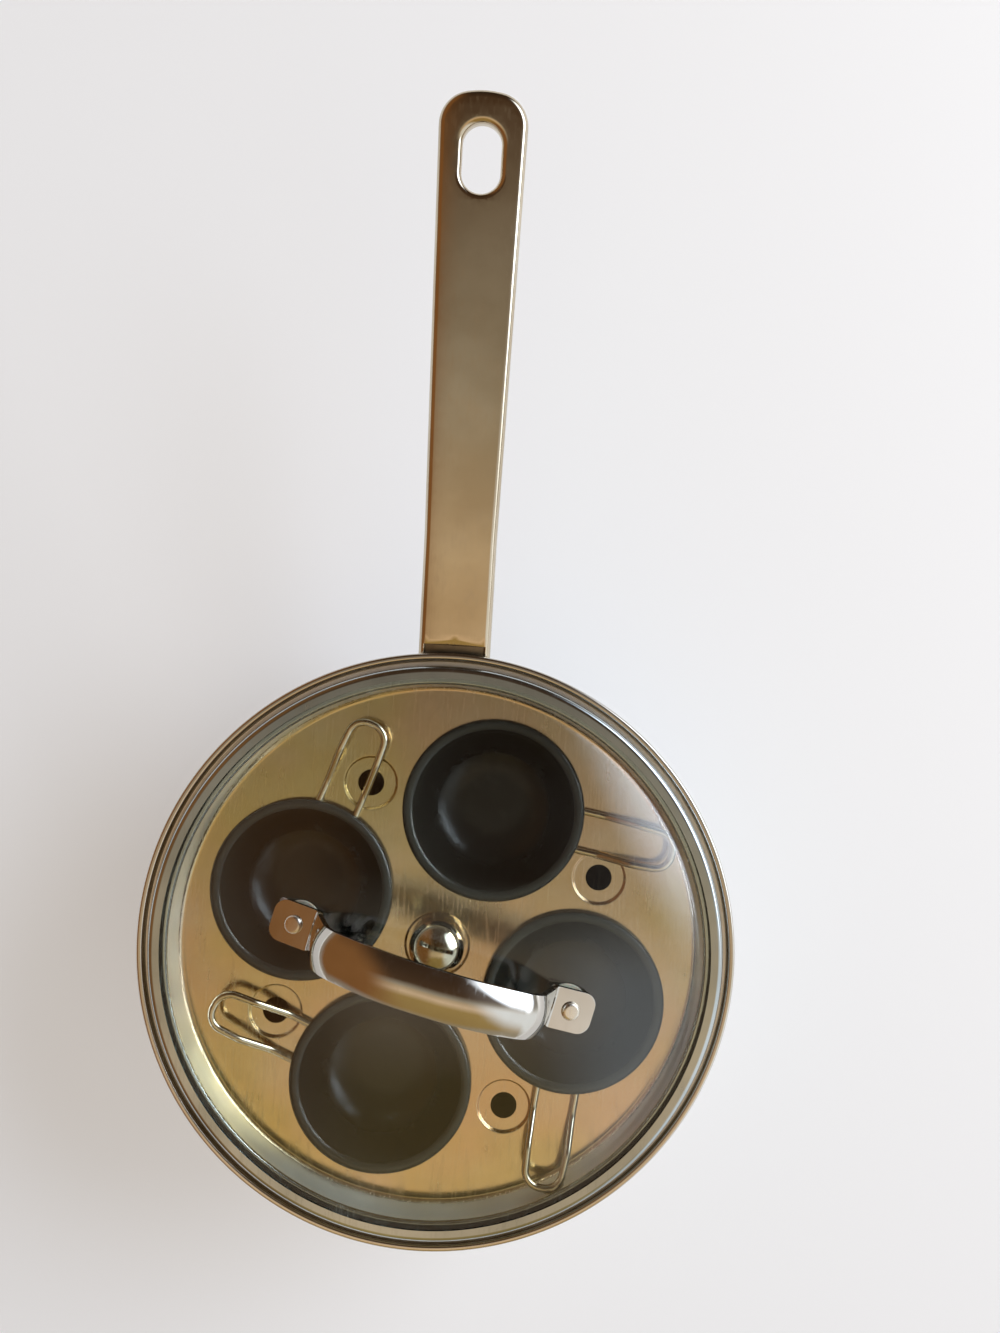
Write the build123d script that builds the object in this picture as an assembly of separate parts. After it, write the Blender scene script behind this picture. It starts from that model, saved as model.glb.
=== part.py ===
from build123d import *
from math import asin, atan2, cos, radians, sin, sqrt, tan
import os

# Egg poacher pan. Millimetres, +Z up, origin at the centre of the base's underside,
# the long handle along +Y. Each function makes one separate piece of the real object.

# Pan: a drawn steel pot with a stepped pouring rim
pan_inner_radius = 100.0
pan_wall = 0.8
pan_inner_depth = 66.0
pan_floor_bend = 9.0
rim_width = 7.5
rim_hem_gap = 0.8
rim_hem_drop = 2.2
seat_drop = 2.6
seat_under_bend = 1.2
seat_corner_bend = 0.8

# Base: an aluminium disc held under the pot by a steel cap
base_setback = 14.0
base_core_thickness = 4.4
base_cap_thickness = 0.6
base_cap_bend = 2.6

# Long handle: a pressed channel, open below, on a saddle bracket welded to the wall
handle_length = 200.2
handle_slope = 9.0
handle_rim_gap = 0.64
handle_foot_width = 26.1
handle_tip_width = 31.0
handle_straight_run = 48.0
handle_waist_bend = 260.0
handle_tip_crown = 3.6
handle_tip_bend = 11.0
handle_sheet = 1.5
handle_foot_depth = 15.0
handle_tip_depth = 8.0
handle_taper_run = 72.0
handle_crown_radius = 85.0
handle_edge_bend = 2.8
handle_least_bend = 0.4
handle_foot_gap = 2.9
hanging_hole_length = 22.8
hanging_hole_width = 13.4
hanging_hole_to_tip = 11.0
hanging_hole_collar_depth = 5.0
hanging_hole_bend = 2.2
bracket_length = 27.0
bracket_sheet = 1.5

# Tray: a dished plate that hangs in the pan by its flange
tray_sheet = 0.7
tray_depth = 12.8
tray_wall_lean = 4.4
tray_floor_bend = 2.0
tray_flange_under_bend = 1.3
vent_radius = 4.8
vent_pitch_radius = 64.2
vent_dish_radius = 10.4
vent_dish_depth = 1.3
vent_dish_bend = 1.2
knob_dish_radius = 12.6
knob_dish_depth = 0.8

# Knob in the middle of the tray, held by a screw from below
knob_radius = 10.25
knob_height = 13.5
knob_neck_radius = 4.6
knob_neck_height = 3.6
knob_foot_radius = 7.2
knob_foot_height = 1.2
knob_skirt_thickness = 1.6
knob_thread_room = 0.9
screw_radius = 2.0
screw_head_radius = 3.9
screw_head_height = 2.4
screw_length = 8.6
screw_slot_width = 1.0
screw_slot_depth = 1.1
washer_radius = 5.5
washer_thickness = 0.8

# Cups: coated aluminium bowls with a turned-down lip that stands on the tray
cup_phase = 70.8
cup_gap = 9.2
cup_mouth_radius = 29.2
cup_wall = 1.2
cup_depth = 27.0
cup_draft_run = 2.4
cup_floor_bend = 17.5
cup_lip_width = 4.1
cup_throat_under_bend = 0.4
cup_lip_under_bend = 0.3
cup_leg_headroom = 0.35

# Wire loops: one bent rod on each cup, its two legs welded to the bowl under the lip
wire_radius = 1.35
wire_rest_gap = 0.35
loop_foot_half_width = 7.2
loop_tip_half_width = 6.4
loop_foot_run = 7.0
loop_rise_run = 12.5
loop_first_rise_share = 0.81
loop_headroom = 0.75
loop_side_bend = 9.0
loop_angles = {"a": -91.0, "b": -80.5, "c": -77.5, "d": -93.5}

# Lid: domed glass in a rolled steel rim band
glass_thickness = 4.0
glass_edge_flat = 0.2
glass_rim_width = 7.5
glass_dome_rise = 22.0
glass_shoulder_bend = 7.0
band_setback = 1.3
band_sheet = 0.5
band_top_width = 4.5
band_side_flat = 0.7
band_floor_width = 6.4
band_skirt_length = 2.6
band_skirt_bend = 0.8

# Lid handle: a bowed strap with flat feet, riveted through the glass
lid_handle_turn = -13.9
rivet_offset = 48.8
rivet_radius = 2.0
rivet_head_width = 1.2
rivet_head_height = 1.5
rivet_tail_width = 1.4
rivet_tail_height = 1.3
foot_width = 14.4
foot_inner_length = 8.4
foot_outer_length = 8.2
foot_thickness = 2.0
foot_corner_bend = 4.4
foot_neck_bend = 1.3
foot_edge_bend = 0.5
neck_width = 11.6
neck_crown = 0.4
strap_width = 15.6
strap_crown = 3.0
strap_edge = 1.9
strap_stations = 12
strap_top_height = 34.5
strap_shoulder_height = 20.5
strap_shoulder_inset = 12.8
strap_top_share = 0.43
strap_shoulder_tangent_share = 0.36
strap_top_tangent_share = 0.5
upper_gasket_thickness = 1.0
upper_gasket_inset = 0.5
gasket_collar_wall = 1.55
gasket_collar_short = 0.8
lower_gasket_radius = 7.4
lower_gasket_thickness = 1.2
backing_washer_radius = 6.2
backing_washer_thickness = 0.8

# Clearances between pieces
weld_clearance = 0.05
fit_clearance = 0.05
tray_wall_clearance = 0.7
flange_edge_clearance = 0.1
cup_hole_clearance = 0.6
loop_wall_clearance = 0.7
glass_edge_clearance = 0.3
curve_clearance = 0.03
notch_clearance = 0.1

# One overrun serves every cut
cut_overrun = 40.0

# Levels up from the table
base_top_z = base_cap_thickness + base_core_thickness
pan_floor_z = base_top_z + pan_wall
lip_z = pan_floor_z + pan_inner_depth
seat_z = lip_z - seat_drop
flange_top_z = seat_z + tray_sheet
tray_z = flange_top_z - tray_depth
leg_z = tray_z + wire_rest_gap + wire_radius
loop_tip_z = flange_top_z - band_skirt_length - loop_headroom - wire_radius
cup_lip_height = wire_rest_gap + 2 * wire_radius + cup_leg_headroom + cup_wall
cup_lip_z = tray_z + cup_lip_height
glass_rim_z = flange_top_z + band_sheet + fit_clearance
glass_top_z = glass_rim_z + glass_thickness
dome_top_z = glass_top_z + glass_dome_rise

# Radii that follow from the sizes above
pan_outer_radius = pan_inner_radius + pan_wall
rim_outer_radius = pan_inner_radius + rim_width
rim_bend = pan_wall + rim_hem_gap / 4
seat_bend = pan_wall + seat_under_bend
seat_outer_radius = rim_outer_radius - 2 * pan_wall - rim_hem_gap
base_radius = pan_inner_radius - base_setback
flange_outer_radius = seat_outer_radius - seat_corner_bend - flange_edge_clearance
tray_wall_radius = pan_inner_radius - tray_wall_clearance - tray_sheet
tray_flat_radius = tray_wall_radius - tray_wall_lean
tray_flange_bend = tray_sheet + tray_flange_under_bend
cup_outer_radius = cup_mouth_radius + cup_wall
cup_lip_radius = cup_mouth_radius + cup_lip_width
cup_pitch_radius = (2 * cup_lip_radius + cup_gap) / sqrt(2)
cup_hole_radius = cup_outer_radius + cup_hole_clearance
band_outer_radius = flange_outer_radius - band_setback
band_height = glass_thickness + 2 * fit_clearance + 2 * band_sheet
band_bend = (band_height - band_side_flat) / 2
band_skirt_radius = band_outer_radius - band_floor_width
glass_edge_bend = (glass_thickness - glass_edge_flat) / 2
glass_dome_radius = band_outer_radius - glass_rim_width
dome_sphere_radius = (glass_dome_radius**2 + glass_dome_rise**2) / (2 * glass_dome_rise)
gasket_collar_radius = rivet_radius + gasket_collar_wall
glass_hole_radius = gasket_collar_radius + fit_clearance
lower_gasket_sag = lower_gasket_radius**2 / (2 * (dome_sphere_radius - glass_thickness))
lower_gasket_top = -glass_thickness - lower_gasket_sag - curve_clearance
knob_thread_depth = screw_length - washer_thickness - tray_sheet + knob_thread_room

handle_setback = rim_outer_radius - pan_outer_radius + handle_foot_gap

# Reach of the wire loops: the one turned furthest outwards just clears the tray's wall
loop_wall_share = (flange_top_z - loop_tip_z) / tray_depth
loop_room = tray_wall_radius - tray_wall_lean * loop_wall_share - loop_wall_clearance
loop_tip_bend = loop_tip_half_width - wire_radius / 4
widest_turn = radians(max(loop_angles.values()))
loop_side_reach = cup_pitch_radius * sin(-widest_turn) + loop_tip_half_width - loop_tip_bend
loop_bend_reach = sqrt((loop_room - loop_tip_bend - wire_radius) ** 2 - loop_side_reach**2)
loop_reach = loop_bend_reach - cup_pitch_radius * cos(widest_turn) + loop_tip_bend + wire_radius

# Places round the tray, in degrees from +X
cup_step = 360 / len(loop_angles)
cup_angles = {name: cup_phase + cup_step * (1 - index) for index, name in enumerate(loop_angles)}
vent_angles = [angle + cup_step / 2 for angle in cup_angles.values()]


def polar(radius, angle, z=0.0):
    """Return the point at this radius and angle round the pan's axis."""
    return Vector(radius * cos(radians(angle)), radius * sin(radians(angle)), z)


def turned_sheet(points, bends, thickness, side=Side.RIGHT):
    """Revolve a bent sheet whose shown face runs through the points (radius, height)."""
    path = FilletPolyline(*points, radius=bends)
    outline = offset(path, amount=thickness, side=side, closed=True)
    return revolve(Plane.XZ * make_face(outline.edges()), Axis.Z)


def turned_solid(outline):
    """Revolve a closed outline of edges about the axis of its plane."""
    return revolve(Plane.XZ * make_face(outline.edges()), Axis.Z)


def bent_corner(face, corner, bend):
    """Round the corner of a flat outline that lies at this point."""
    nearest = face.vertices().sort_by(lambda vertex: (Vector(*vertex) - Vector(*corner)).length)
    return fillet(nearest[0], bend)


def disc(radius, low_z, high_z):
    """Return a plain cylinder on the axis between two levels."""
    return extrude(Plane.XY.offset(low_z) * Circle(radius), amount=high_z - low_z)


def base_cap():
    """Steel cap round the base disc, its edge turned up to the pot."""
    points = [(0, 0), (base_radius, 0), (base_radius, base_top_z - weld_clearance)]
    return turned_sheet(points, [base_cap_bend], base_cap_thickness, Side.LEFT)


def base_core_disc():
    """Aluminium disc that fills the cap and spreads the heat."""
    radius = base_radius - base_cap_thickness - fit_clearance
    core = disc(radius, base_cap_thickness, base_top_z)
    return fillet(core.edges().group_by(Axis.Z)[0], base_cap_bend - base_cap_thickness)


def pan_shell():
    """Drawn pot: floor, wall, tray seat and rolled pouring rim."""
    points = [
        (0, pan_floor_z),
        (pan_inner_radius, pan_floor_z),
        (pan_inner_radius, seat_z),
        (seat_outer_radius, seat_z),
        (seat_outer_radius, lip_z),
        (rim_outer_radius, lip_z),
        (rim_outer_radius, lip_z - rim_hem_drop),
    ]
    bends = [pan_floor_bend, seat_bend, seat_corner_bend, rim_bend, rim_bend]
    return turned_sheet(points, bends, pan_wall)


def handle_plane():
    """Plane of the long handle: origin on the pot's wall, local Y along the handle."""
    overhang = rim_outer_radius - pan_outer_radius
    foot_z = seat_z - pan_wall - handle_rim_gap - overhang * tan(radians(handle_slope))
    return Plane((0, pan_outer_radius, foot_z)).rotated((handle_slope, 0, 0))


def handle_outline(inset):
    """Plan of the long handle, drawn in from its edge all round by the inset."""
    foot, tip = handle_foot_width / 2, handle_tip_width / 2
    side_end = handle_length - handle_tip_crown
    right = [(foot, -cut_overrun), (foot, handle_straight_run), (tip, side_end)]
    left = [(-x, y) for x, y in reversed(right)]
    sides = FilletPolyline(*right, radius=handle_waist_bend).edges()
    sides += FilletPolyline(*left, radius=handle_waist_bend).edges()
    crown = ThreePointArc(right[-1], (0, handle_length), left[0])
    plan = make_face(sides + [crown, Line(left[-1], right[0])])
    corners = plan.vertices().filter_by(lambda v: abs(v.Y - side_end) < handle_tip_crown / 2)
    plan = fillet(corners, handle_tip_bend)
    return offset(plan, amount=-inset) if inset else plan


def handle_plug(inset):
    """Solid under the channel's crowned top, drawn in all round by the inset."""
    block = extrude(handle_outline(inset), amount=-cut_overrun)
    crown_radius = handle_crown_radius - inset
    crown = Plane.XZ.offset(-handle_length - cut_overrun) * Pos(0, -handle_crown_radius)
    block &= extrude(crown * Circle(crown_radius), amount=handle_length + 3 * cut_overrun)
    top = block.faces().sort_by(Axis.Z)[-1]
    return fillet(top.edges(), max(handle_edge_bend - inset, handle_least_bend))


def handle_side_cut():
    """Solid below the channel's flanges, deep at the foot and shallow to the tip."""
    low = -2 * cut_overrun
    points = [
        (-cut_overrun, low),
        (-cut_overrun, -handle_foot_depth),
        (handle_setback, -handle_foot_depth),
        (handle_taper_run, -handle_tip_depth),
        (handle_length + cut_overrun, -handle_tip_depth),
        (handle_length + cut_overrun, low),
    ]
    side = Plane.YZ.offset(-cut_overrun) * make_face(Polyline(*points, close=True).edges())
    return extrude(side, amount=2 * cut_overrun)


def pot_space():
    """Room of the pot's wall, to trim what is welded to it."""
    return disc(pan_outer_radius + weld_clearance, -cut_overrun, lip_z + cut_overrun)


def hanging_hole(width_change, top_z, bottom_z):
    """Upright prism of the hanging hole's outline, grown by the change in width."""
    slot = SlotOverall(
        hanging_hole_length + width_change, hanging_hole_width + width_change, rotation=90
    )
    centre = handle_length - hanging_hole_to_tip - hanging_hole_length / 2
    return extrude(Pos(0, centre, top_z) * slot, amount=bottom_z - top_z)


def on_hole_mouth(edge):
    """Tell whether an edge of the channel runs round the top of the hanging hole."""
    centre_y = handle_length - hanging_hole_to_tip - hanging_hole_length / 2
    place = edge.center() - Vector(0, centre_y, 0)
    return (
        place.Z > -handle_sheet
        and abs(place.X) < hanging_hole_width / 2 + fit_clearance
        and abs(place.Y) < hanging_hole_length / 2 + fit_clearance
    )


def pan_handle():
    """Pressed channel with flanges down both sides, round its tip and round the hole."""
    channel = handle_plug(0) - handle_plug(handle_sheet) - handle_side_cut()
    collar = hanging_hole(2 * handle_sheet, -handle_sheet / 2, -hanging_hole_collar_depth)
    channel += collar
    channel -= hanging_hole(0, cut_overrun, -cut_overrun)
    channel = fillet(channel.edges().filter_by(on_hole_mouth), hanging_hole_bend)
    notch_width = handle_foot_width - 2 * handle_edge_bend + handle_sheet
    notch = Pos(0, handle_setback - cut_overrun, 0) * Box(
        notch_width, 2 * cut_overrun, 2 * (handle_edge_bend + handle_sheet)
    )
    channel -= notch
    return handle_plane().location * channel - pot_space()


def handle_bracket():
    """Saddle inside the channel's foot, welded to the pot's wall and to the channel."""
    gap = handle_sheet + weld_clearance
    saddle = handle_plug(gap) - handle_plug(gap + bracket_sheet) - handle_side_cut()
    keep = Pos(0, bracket_length - cut_overrun, 0) * Box(
        2 * cut_overrun, 2 * cut_overrun, 2 * cut_overrun
    )
    return handle_plane().location * (saddle & keep) - pot_space()


def dished_ring(centre, hole_radius, dish_radius, dish_depth):
    """Pressed round dish that steps down from the tray, with a hole in its floor."""
    points = [
        (hole_radius, -dish_depth),
        (dish_radius - vent_dish_bend, -dish_depth),
        (dish_radius - vent_dish_bend / 2, 0),
        (dish_radius, 0),
    ]
    bend = vent_dish_bend / 4
    ring = turned_sheet(points, [bend, bend], tray_sheet)
    return Pos(centre) * ring


def tray_plate():
    """Dished plate with four cup holes, four vents, a knob seat and a flat flange."""
    points = [
        (0, tray_z),
        (tray_flat_radius, tray_z),
        (tray_wall_radius, flange_top_z),
        (flange_outer_radius, flange_top_z),
    ]
    plate = turned_sheet(points, [tray_floor_bend, tray_flange_bend], tray_sheet)
    low, high = tray_z - cut_overrun / 2, tray_z + cut_overrun / 2
    for name, angle in cup_angles.items():
        plate -= Pos(polar(cup_pitch_radius, angle)) * disc(cup_hole_radius, low, high)
    for angle in vent_angles:
        plate -= Pos(polar(vent_pitch_radius, angle)) * disc(vent_dish_radius, low, high)
    plate -= disc(knob_dish_radius, low, high)
    for angle in vent_angles:
        centre = polar(vent_pitch_radius, angle, tray_z)
        plate += dished_ring(centre, vent_radius, vent_dish_radius, vent_dish_depth)
    knob_centre = Vector(0, 0, tray_z)
    knob_hole = screw_radius + fit_clearance
    plate += dished_ring(knob_centre, knob_hole, knob_dish_radius, knob_dish_depth)
    return plate


def tray_knob():
    """Polished mushroom knob with a foot, a waisted neck and a blind thread below."""
    low = tray_z - knob_dish_depth
    head_low = low + knob_foot_height + knob_neck_height
    brow = head_low + knob_skirt_thickness
    top = low + knob_height
    dome = (knob_radius**2 + (top - brow) ** 2) / (2 * (top - brow))
    lean = asin(knob_radius / dome) / 2
    dome_middle = (dome * sin(lean), top - dome + dome * cos(lean))
    neck_middle = (knob_neck_radius, (low + knob_foot_height + head_low) / 2)
    outline = Wire(
        [
            Line((0, low), (knob_foot_radius, low)),
            Line((knob_foot_radius, low), (knob_foot_radius, low + knob_foot_height)),
            ThreePointArc(
                (knob_foot_radius, low + knob_foot_height), neck_middle, (knob_foot_radius, head_low)
            ),
            Line((knob_foot_radius, head_low), (knob_radius, brow)),
            ThreePointArc((knob_radius, brow), dome_middle, (0, top)),
            Line((0, top), (0, low)),
        ]
    )
    knob = turned_solid(outline)
    brow_edge = knob.edges().filter_by(lambda edge: abs(edge.center().Z - brow) < fit_clearance)
    knob = fillet(brow_edge, knob_skirt_thickness / 2)
    return knob - disc(screw_radius + fit_clearance, low, low + knob_thread_depth)


def tray_knob_washer():
    """Plain washer between the tray and the screw's head."""
    top = tray_z - knob_dish_depth - tray_sheet
    washer = disc(washer_radius, top - washer_thickness, top)
    return washer - disc(screw_radius + fit_clearance, top - washer_thickness, top)


def tray_knob_screw():
    """Pan-headed screw that holds the knob from below."""
    seat = tray_z - knob_dish_depth - tray_sheet - washer_thickness
    head = disc(screw_head_radius, seat - screw_head_height, seat)
    head = fillet(head.edges().group_by(Axis.Z)[0], screw_head_height / 2)
    slot = Pos(0, 0, seat - screw_head_height) * Box(
        2 * screw_head_radius, screw_slot_width, 2 * screw_slot_depth
    )
    return head - slot + disc(screw_radius, seat, seat + screw_length)


def cup_place(name):
    """Location of a cup: on the tray, its local X pointing along the wire loop."""
    angle = cup_angles[name]
    return Pos(polar(cup_pitch_radius, angle)) * Rot(0, 0, angle + loop_angles[name])


def leg_notches(clearance):
    """Two slots in the cup's lip skirt where the wire's legs pass under it."""
    half = wire_radius + clearance
    slots = []
    for side in (-1, 1):
        round_top = Plane.YZ * Pos(side * loop_foot_half_width, leg_z) * Circle(half)
        slot = extrude(round_top, amount=cup_lip_radius + cut_overrun)
        below = Pos(0, side * loop_foot_half_width, leg_z) * Box(
            cup_lip_radius + cut_overrun,
            2 * half,
            cup_lip_height,
            align=(Align.MIN, Align.CENTER, Align.MAX),
        )
        slots.append(slot + below)
    core = disc(cup_outer_radius + weld_clearance, tray_z - cut_overrun, cup_lip_z)
    return [slot - core for slot in slots]


def cup_bowl(name):
    """Round-bottomed bowl with a rolled lip, its skirt notched for the wire's legs."""
    floor_z = cup_lip_z - cup_depth
    points = [
        (0, floor_z),
        (cup_mouth_radius - cup_draft_run, floor_z),
        (cup_mouth_radius, cup_lip_z),
        (cup_lip_radius, cup_lip_z),
        (cup_lip_radius, tray_z),
    ]
    bends = [cup_floor_bend, cup_wall + cup_throat_under_bend, cup_wall + cup_lip_under_bend]
    bowl = turned_sheet(points, bends, cup_wall)
    for notch in leg_notches(notch_clearance):
        bowl -= notch
    return cup_place(name) * bowl


def cup_handle(name):
    """Closed wire loop: two legs from under the lip that rise and join in a round end."""
    rise_start = cup_lip_radius + loop_foot_run
    knee_z = leg_z + (loop_tip_z - leg_z) * loop_first_rise_share
    leg = [
        Vector(cup_mouth_radius, loop_foot_half_width, leg_z),
        Vector(rise_start, loop_foot_half_width, leg_z),
        Vector(rise_start + loop_rise_run, loop_foot_half_width, knee_z),
        Vector(loop_reach - wire_radius, loop_tip_half_width, loop_tip_z),
    ]
    back = [Vector(point.X, -point.Y, point.Z) for point in reversed(leg)]
    bends = [loop_side_bend, loop_side_bend, loop_tip_bend]
    bends += bends[::-1]
    path = FilletPolyline(*leg, *back, radius=bends)
    wire = sweep(Plane(path @ 0, z_dir=path % 0) * Circle(wire_radius), path=path)
    bowl_room = disc(cup_outer_radius + weld_clearance, tray_z - cut_overrun, cup_lip_z)
    return cup_place(name) * (wire - bowl_room)


def lid_glass():
    """Domed glass with a flat rim, a rounded edge and two rivet holes."""
    edge = band_outer_radius - band_sheet - glass_edge_clearance
    inner_sphere = dome_sphere_radius - glass_thickness
    centre_z = dome_top_z - dome_sphere_radius
    lean = asin(glass_dome_radius / dome_sphere_radius)
    inner_foot = sqrt(inner_sphere**2 - (glass_rim_z - centre_z) ** 2)
    inner_lean = asin(inner_foot / inner_sphere)

    def on_sphere(radius, angle):
        return (radius * sin(angle), centre_z + radius * cos(angle))

    dome_middle = on_sphere(dome_sphere_radius, lean / 2)
    outline = Wire(
        [
            ThreePointArc((0, dome_top_z), dome_middle, (glass_dome_radius, glass_top_z)),
            Line((glass_dome_radius, glass_top_z), (edge, glass_top_z)),
            Line((edge, glass_top_z), (edge, glass_rim_z)),
            Line((edge, glass_rim_z), (inner_foot, glass_rim_z)),
            ThreePointArc(
                (inner_foot, glass_rim_z),
                on_sphere(inner_sphere, inner_lean / 2),
                (0, centre_z + inner_sphere),
            ),
            Line((0, centre_z + inner_sphere), (0, dome_top_z)),
        ]
    )
    face = make_face(outline.edges())
    for height in (glass_top_z, glass_rim_z):
        face = bent_corner(face, (edge, height), glass_edge_bend)
    face = bent_corner(face, (glass_dome_radius, glass_top_z), glass_shoulder_bend)
    face = bent_corner(face, (inner_foot, glass_rim_z), glass_shoulder_bend)
    glass = revolve(Plane.XZ * face, Axis.Z)
    for seat in rivet_planes():
        glass -= seat.location * disc(glass_hole_radius, -cut_overrun / 4, cut_overrun / 4)
    return glass


def lid_rim_band():
    """Rolled steel strip over the glass edge, with a skirt that centres the lid."""
    bottom = flange_top_z
    top = bottom + band_height
    points = [
        (band_outer_radius - band_top_width, top),
        (band_outer_radius, top),
        (band_outer_radius, bottom),
        (band_skirt_radius, bottom),
        (band_skirt_radius, bottom - band_skirt_length),
    ]
    return turned_sheet(points, [band_bend, band_bend, band_skirt_bend], band_sheet)


def rivet_planes():
    """Planes on the glass at the two rivets: origin on its top face, Z out of it."""
    lean = asin(rivet_offset / dome_sphere_radius)
    centre_z = dome_top_z - dome_sphere_radius
    planes = []
    for side in (-1, 1):
        along = polar(1, lid_handle_turn) * side
        normal = along * sin(lean) + Vector(0, 0, cos(lean))
        origin = normal * dome_sphere_radius + Vector(0, 0, centre_z)
        tangent = along * cos(lean) - Vector(0, 0, sin(lean))
        planes.append(Plane(origin=origin, x_dir=tangent, z_dir=normal))
    return planes


def foot_outline(inset):
    """Flat foot of the lid handle in its rivet's plane, drawn in all round by the inset."""
    length = foot_inner_length + foot_outer_length
    plate = Pos((foot_outer_length - foot_inner_length) / 2, 0) * Rectangle(length, foot_width)
    corners = plate.vertices().sort_by(Axis.X)
    plate = fillet(corners[2:], foot_corner_bend)
    plate = fillet(plate.vertices().sort_by(Axis.X)[:2], foot_neck_bend)
    return offset(plate, amount=-inset) if inset else plate


def strap_section(width, crown, plane):
    """Crowned cross-section of the bowed strap, hollow below."""
    half, top, under = width / 2, strap_edge / 2, -strap_edge / 2
    outline = Wire(
        [
            ThreePointArc((-half, top), (0, top + crown), (half, top)),
            Line((half, top), (half, under)),
            ThreePointArc((half, under), (0, under + crown), (-half, under)),
            Line((-half, under), (-half, top)),
        ]
    )
    return plane * make_face(outline.edges())


def strap_path():
    """Centre line of the bowed strap, from one foot over the lid to the other."""
    lean = asin(rivet_offset / dome_sphere_radius)
    stack = upper_gasket_thickness + foot_thickness / 2
    inner_run = foot_inner_length - strap_edge / 2
    neck_offset = (dome_sphere_radius + stack) * sin(lean) - inner_run * cos(lean)
    neck_z = dome_top_z - dome_sphere_radius + (dome_sphere_radius + stack) * cos(lean)
    neck_z += inner_run * sin(lean)
    shoulder = rivet_offset - strap_shoulder_inset
    right = [
        (neck_offset, neck_z),
        (shoulder, dome_top_z + strap_shoulder_height),
        (shoulder * strap_top_share, dome_top_z + strap_top_height - strap_crown),
    ]
    left = [(-x, z) for x, z in reversed(right)]
    leg, slope = [atan2(b[1] - a[1], b[0] - a[0]) for a, b in zip(right, right[1:])]
    slope_length = (Vector(*right[2]) - Vector(*right[1])).length
    shoulder_bend = strap_shoulder_tangent_share * slope_length / tan((slope - leg) / 2)
    top_bend = strap_top_tangent_share * slope_length / tan((radians(180) - slope) / 2)
    bends = [shoulder_bend, top_bend, top_bend, shoulder_bend]
    run = polar(1, lid_handle_turn)
    upright = Plane(origin=(0, 0, 0), x_dir=run, z_dir=run.cross(Vector(0, 0, 1)))
    return upright * FilletPolyline(*right, *left, radius=bends)


def lid_handle():
    """Bowed strap, widest and most crowned on top, with two flat riveted feet."""
    path = strap_path()
    across = polar(1, lid_handle_turn + 90)
    sections = []
    for index in range(strap_stations + 1):
        share = index / strap_stations
        swell = 1 - (1 - sin(radians(180 * share))) ** 2
        width = neck_width + (strap_width - neck_width) * swell
        crown = neck_crown + (strap_crown - neck_crown) * swell
        tangent = path % share
        plane = Plane(origin=path @ share, x_dir=across, z_dir=across.cross(tangent.cross(across)))
        sections.append(strap_section(width, crown, plane))
    handle = loft(sections)
    hole = rivet_radius + fit_clearance
    low = upper_gasket_thickness
    for seat in rivet_planes():
        foot = extrude(Pos(0, 0, low) * foot_outline(0), amount=foot_thickness)
        top_edges = foot.edges().group_by(Axis.Z)[-1]
        foot = fillet(top_edges, foot_edge_bend)
        foot -= disc(hole, low, low + foot_thickness)
        handle += seat.location * foot
    return handle


def rivet(top_z, bottom_z):
    """Domed rivet through everything between two levels in its own plane."""
    head = disc(rivet_radius + rivet_head_width, top_z, top_z + rivet_head_height)
    head = fillet(head.edges().group_by(Axis.Z)[-1], rivet_head_height - fit_clearance)
    tail = disc(rivet_radius + rivet_tail_width, bottom_z - rivet_tail_height, bottom_z)
    tail = fillet(tail.edges().group_by(Axis.Z)[0], rivet_tail_height - fit_clearance)
    return head + disc(rivet_radius, bottom_z, top_z) + tail


def at_rivets(piece):
    """Place a copy of the piece at each rivet and keep the two as one group."""
    return Compound(children=[seat.location * piece for seat in rivet_planes()])


def lid_rivets():
    """Two steel rivets through the feet, the glass and the backing washers."""
    bottom = lower_gasket_top - lower_gasket_thickness - backing_washer_thickness
    return at_rivets(rivet(upper_gasket_thickness + foot_thickness, bottom))


def lid_upper_gaskets():
    """Two silicone pads under the feet, each with a collar down the glass hole."""
    pad = extrude(foot_outline(upper_gasket_inset), amount=upper_gasket_thickness)
    low = gasket_collar_short - glass_thickness
    pad += disc(gasket_collar_radius, low, upper_gasket_thickness)
    hole = disc(rivet_radius + fit_clearance, low, upper_gasket_thickness)
    return at_rivets(pad - hole)


def under_glass_ring(radius, thickness, top):
    """Flat ring round the rivet below a level in the rivet's plane."""
    return disc(radius, top - thickness, top) - disc(rivet_radius + fit_clearance, top - thickness, top)


def lid_lower_gaskets():
    """Two round silicone washers against the glass from below."""
    return at_rivets(under_glass_ring(lower_gasket_radius, lower_gasket_thickness, lower_gasket_top))


def lid_backing_washers():
    """Two steel washers that spread the rivets' load."""
    top = lower_gasket_top - lower_gasket_thickness
    return at_rivets(under_glass_ring(backing_washer_radius, backing_washer_thickness, top))


def write(nodes):
    """Write one STEP file for each node, named after it."""
    os.makedirs("parts", exist_ok=True)
    for name, shape in nodes.items():
        shape.label = name
        export_step(shape, f"parts/{name}.step")


def build():
    """Make every piece of the pan by name."""
    makers = [
        pan_shell, base_core_disc, base_cap, pan_handle, handle_bracket,
        tray_plate, tray_knob, tray_knob_washer, tray_knob_screw,
        lid_glass, lid_rim_band, lid_handle, lid_rivets,
        lid_upper_gaskets, lid_lower_gaskets, lid_backing_washers,
    ]
    nodes = {maker.__name__: maker() for maker in makers}
    for name in cup_angles:
        nodes[f"cup_{name}_bowl"] = cup_bowl(name)
        nodes[f"cup_{name}_handle"] = cup_handle(name)
    return nodes


write(build())
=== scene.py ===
"""Looks of the egg poacher pan: its spun, pressed and bent pieces, finishes, light and camera.

Sizes are millimetres, as on a maker's drawing, and each mesh is made in metres round the
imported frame: +Z up out of the pan, +Y along the long handle.
"""

import logging
import math
from dataclasses import dataclass, field
from enum import Enum

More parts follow.
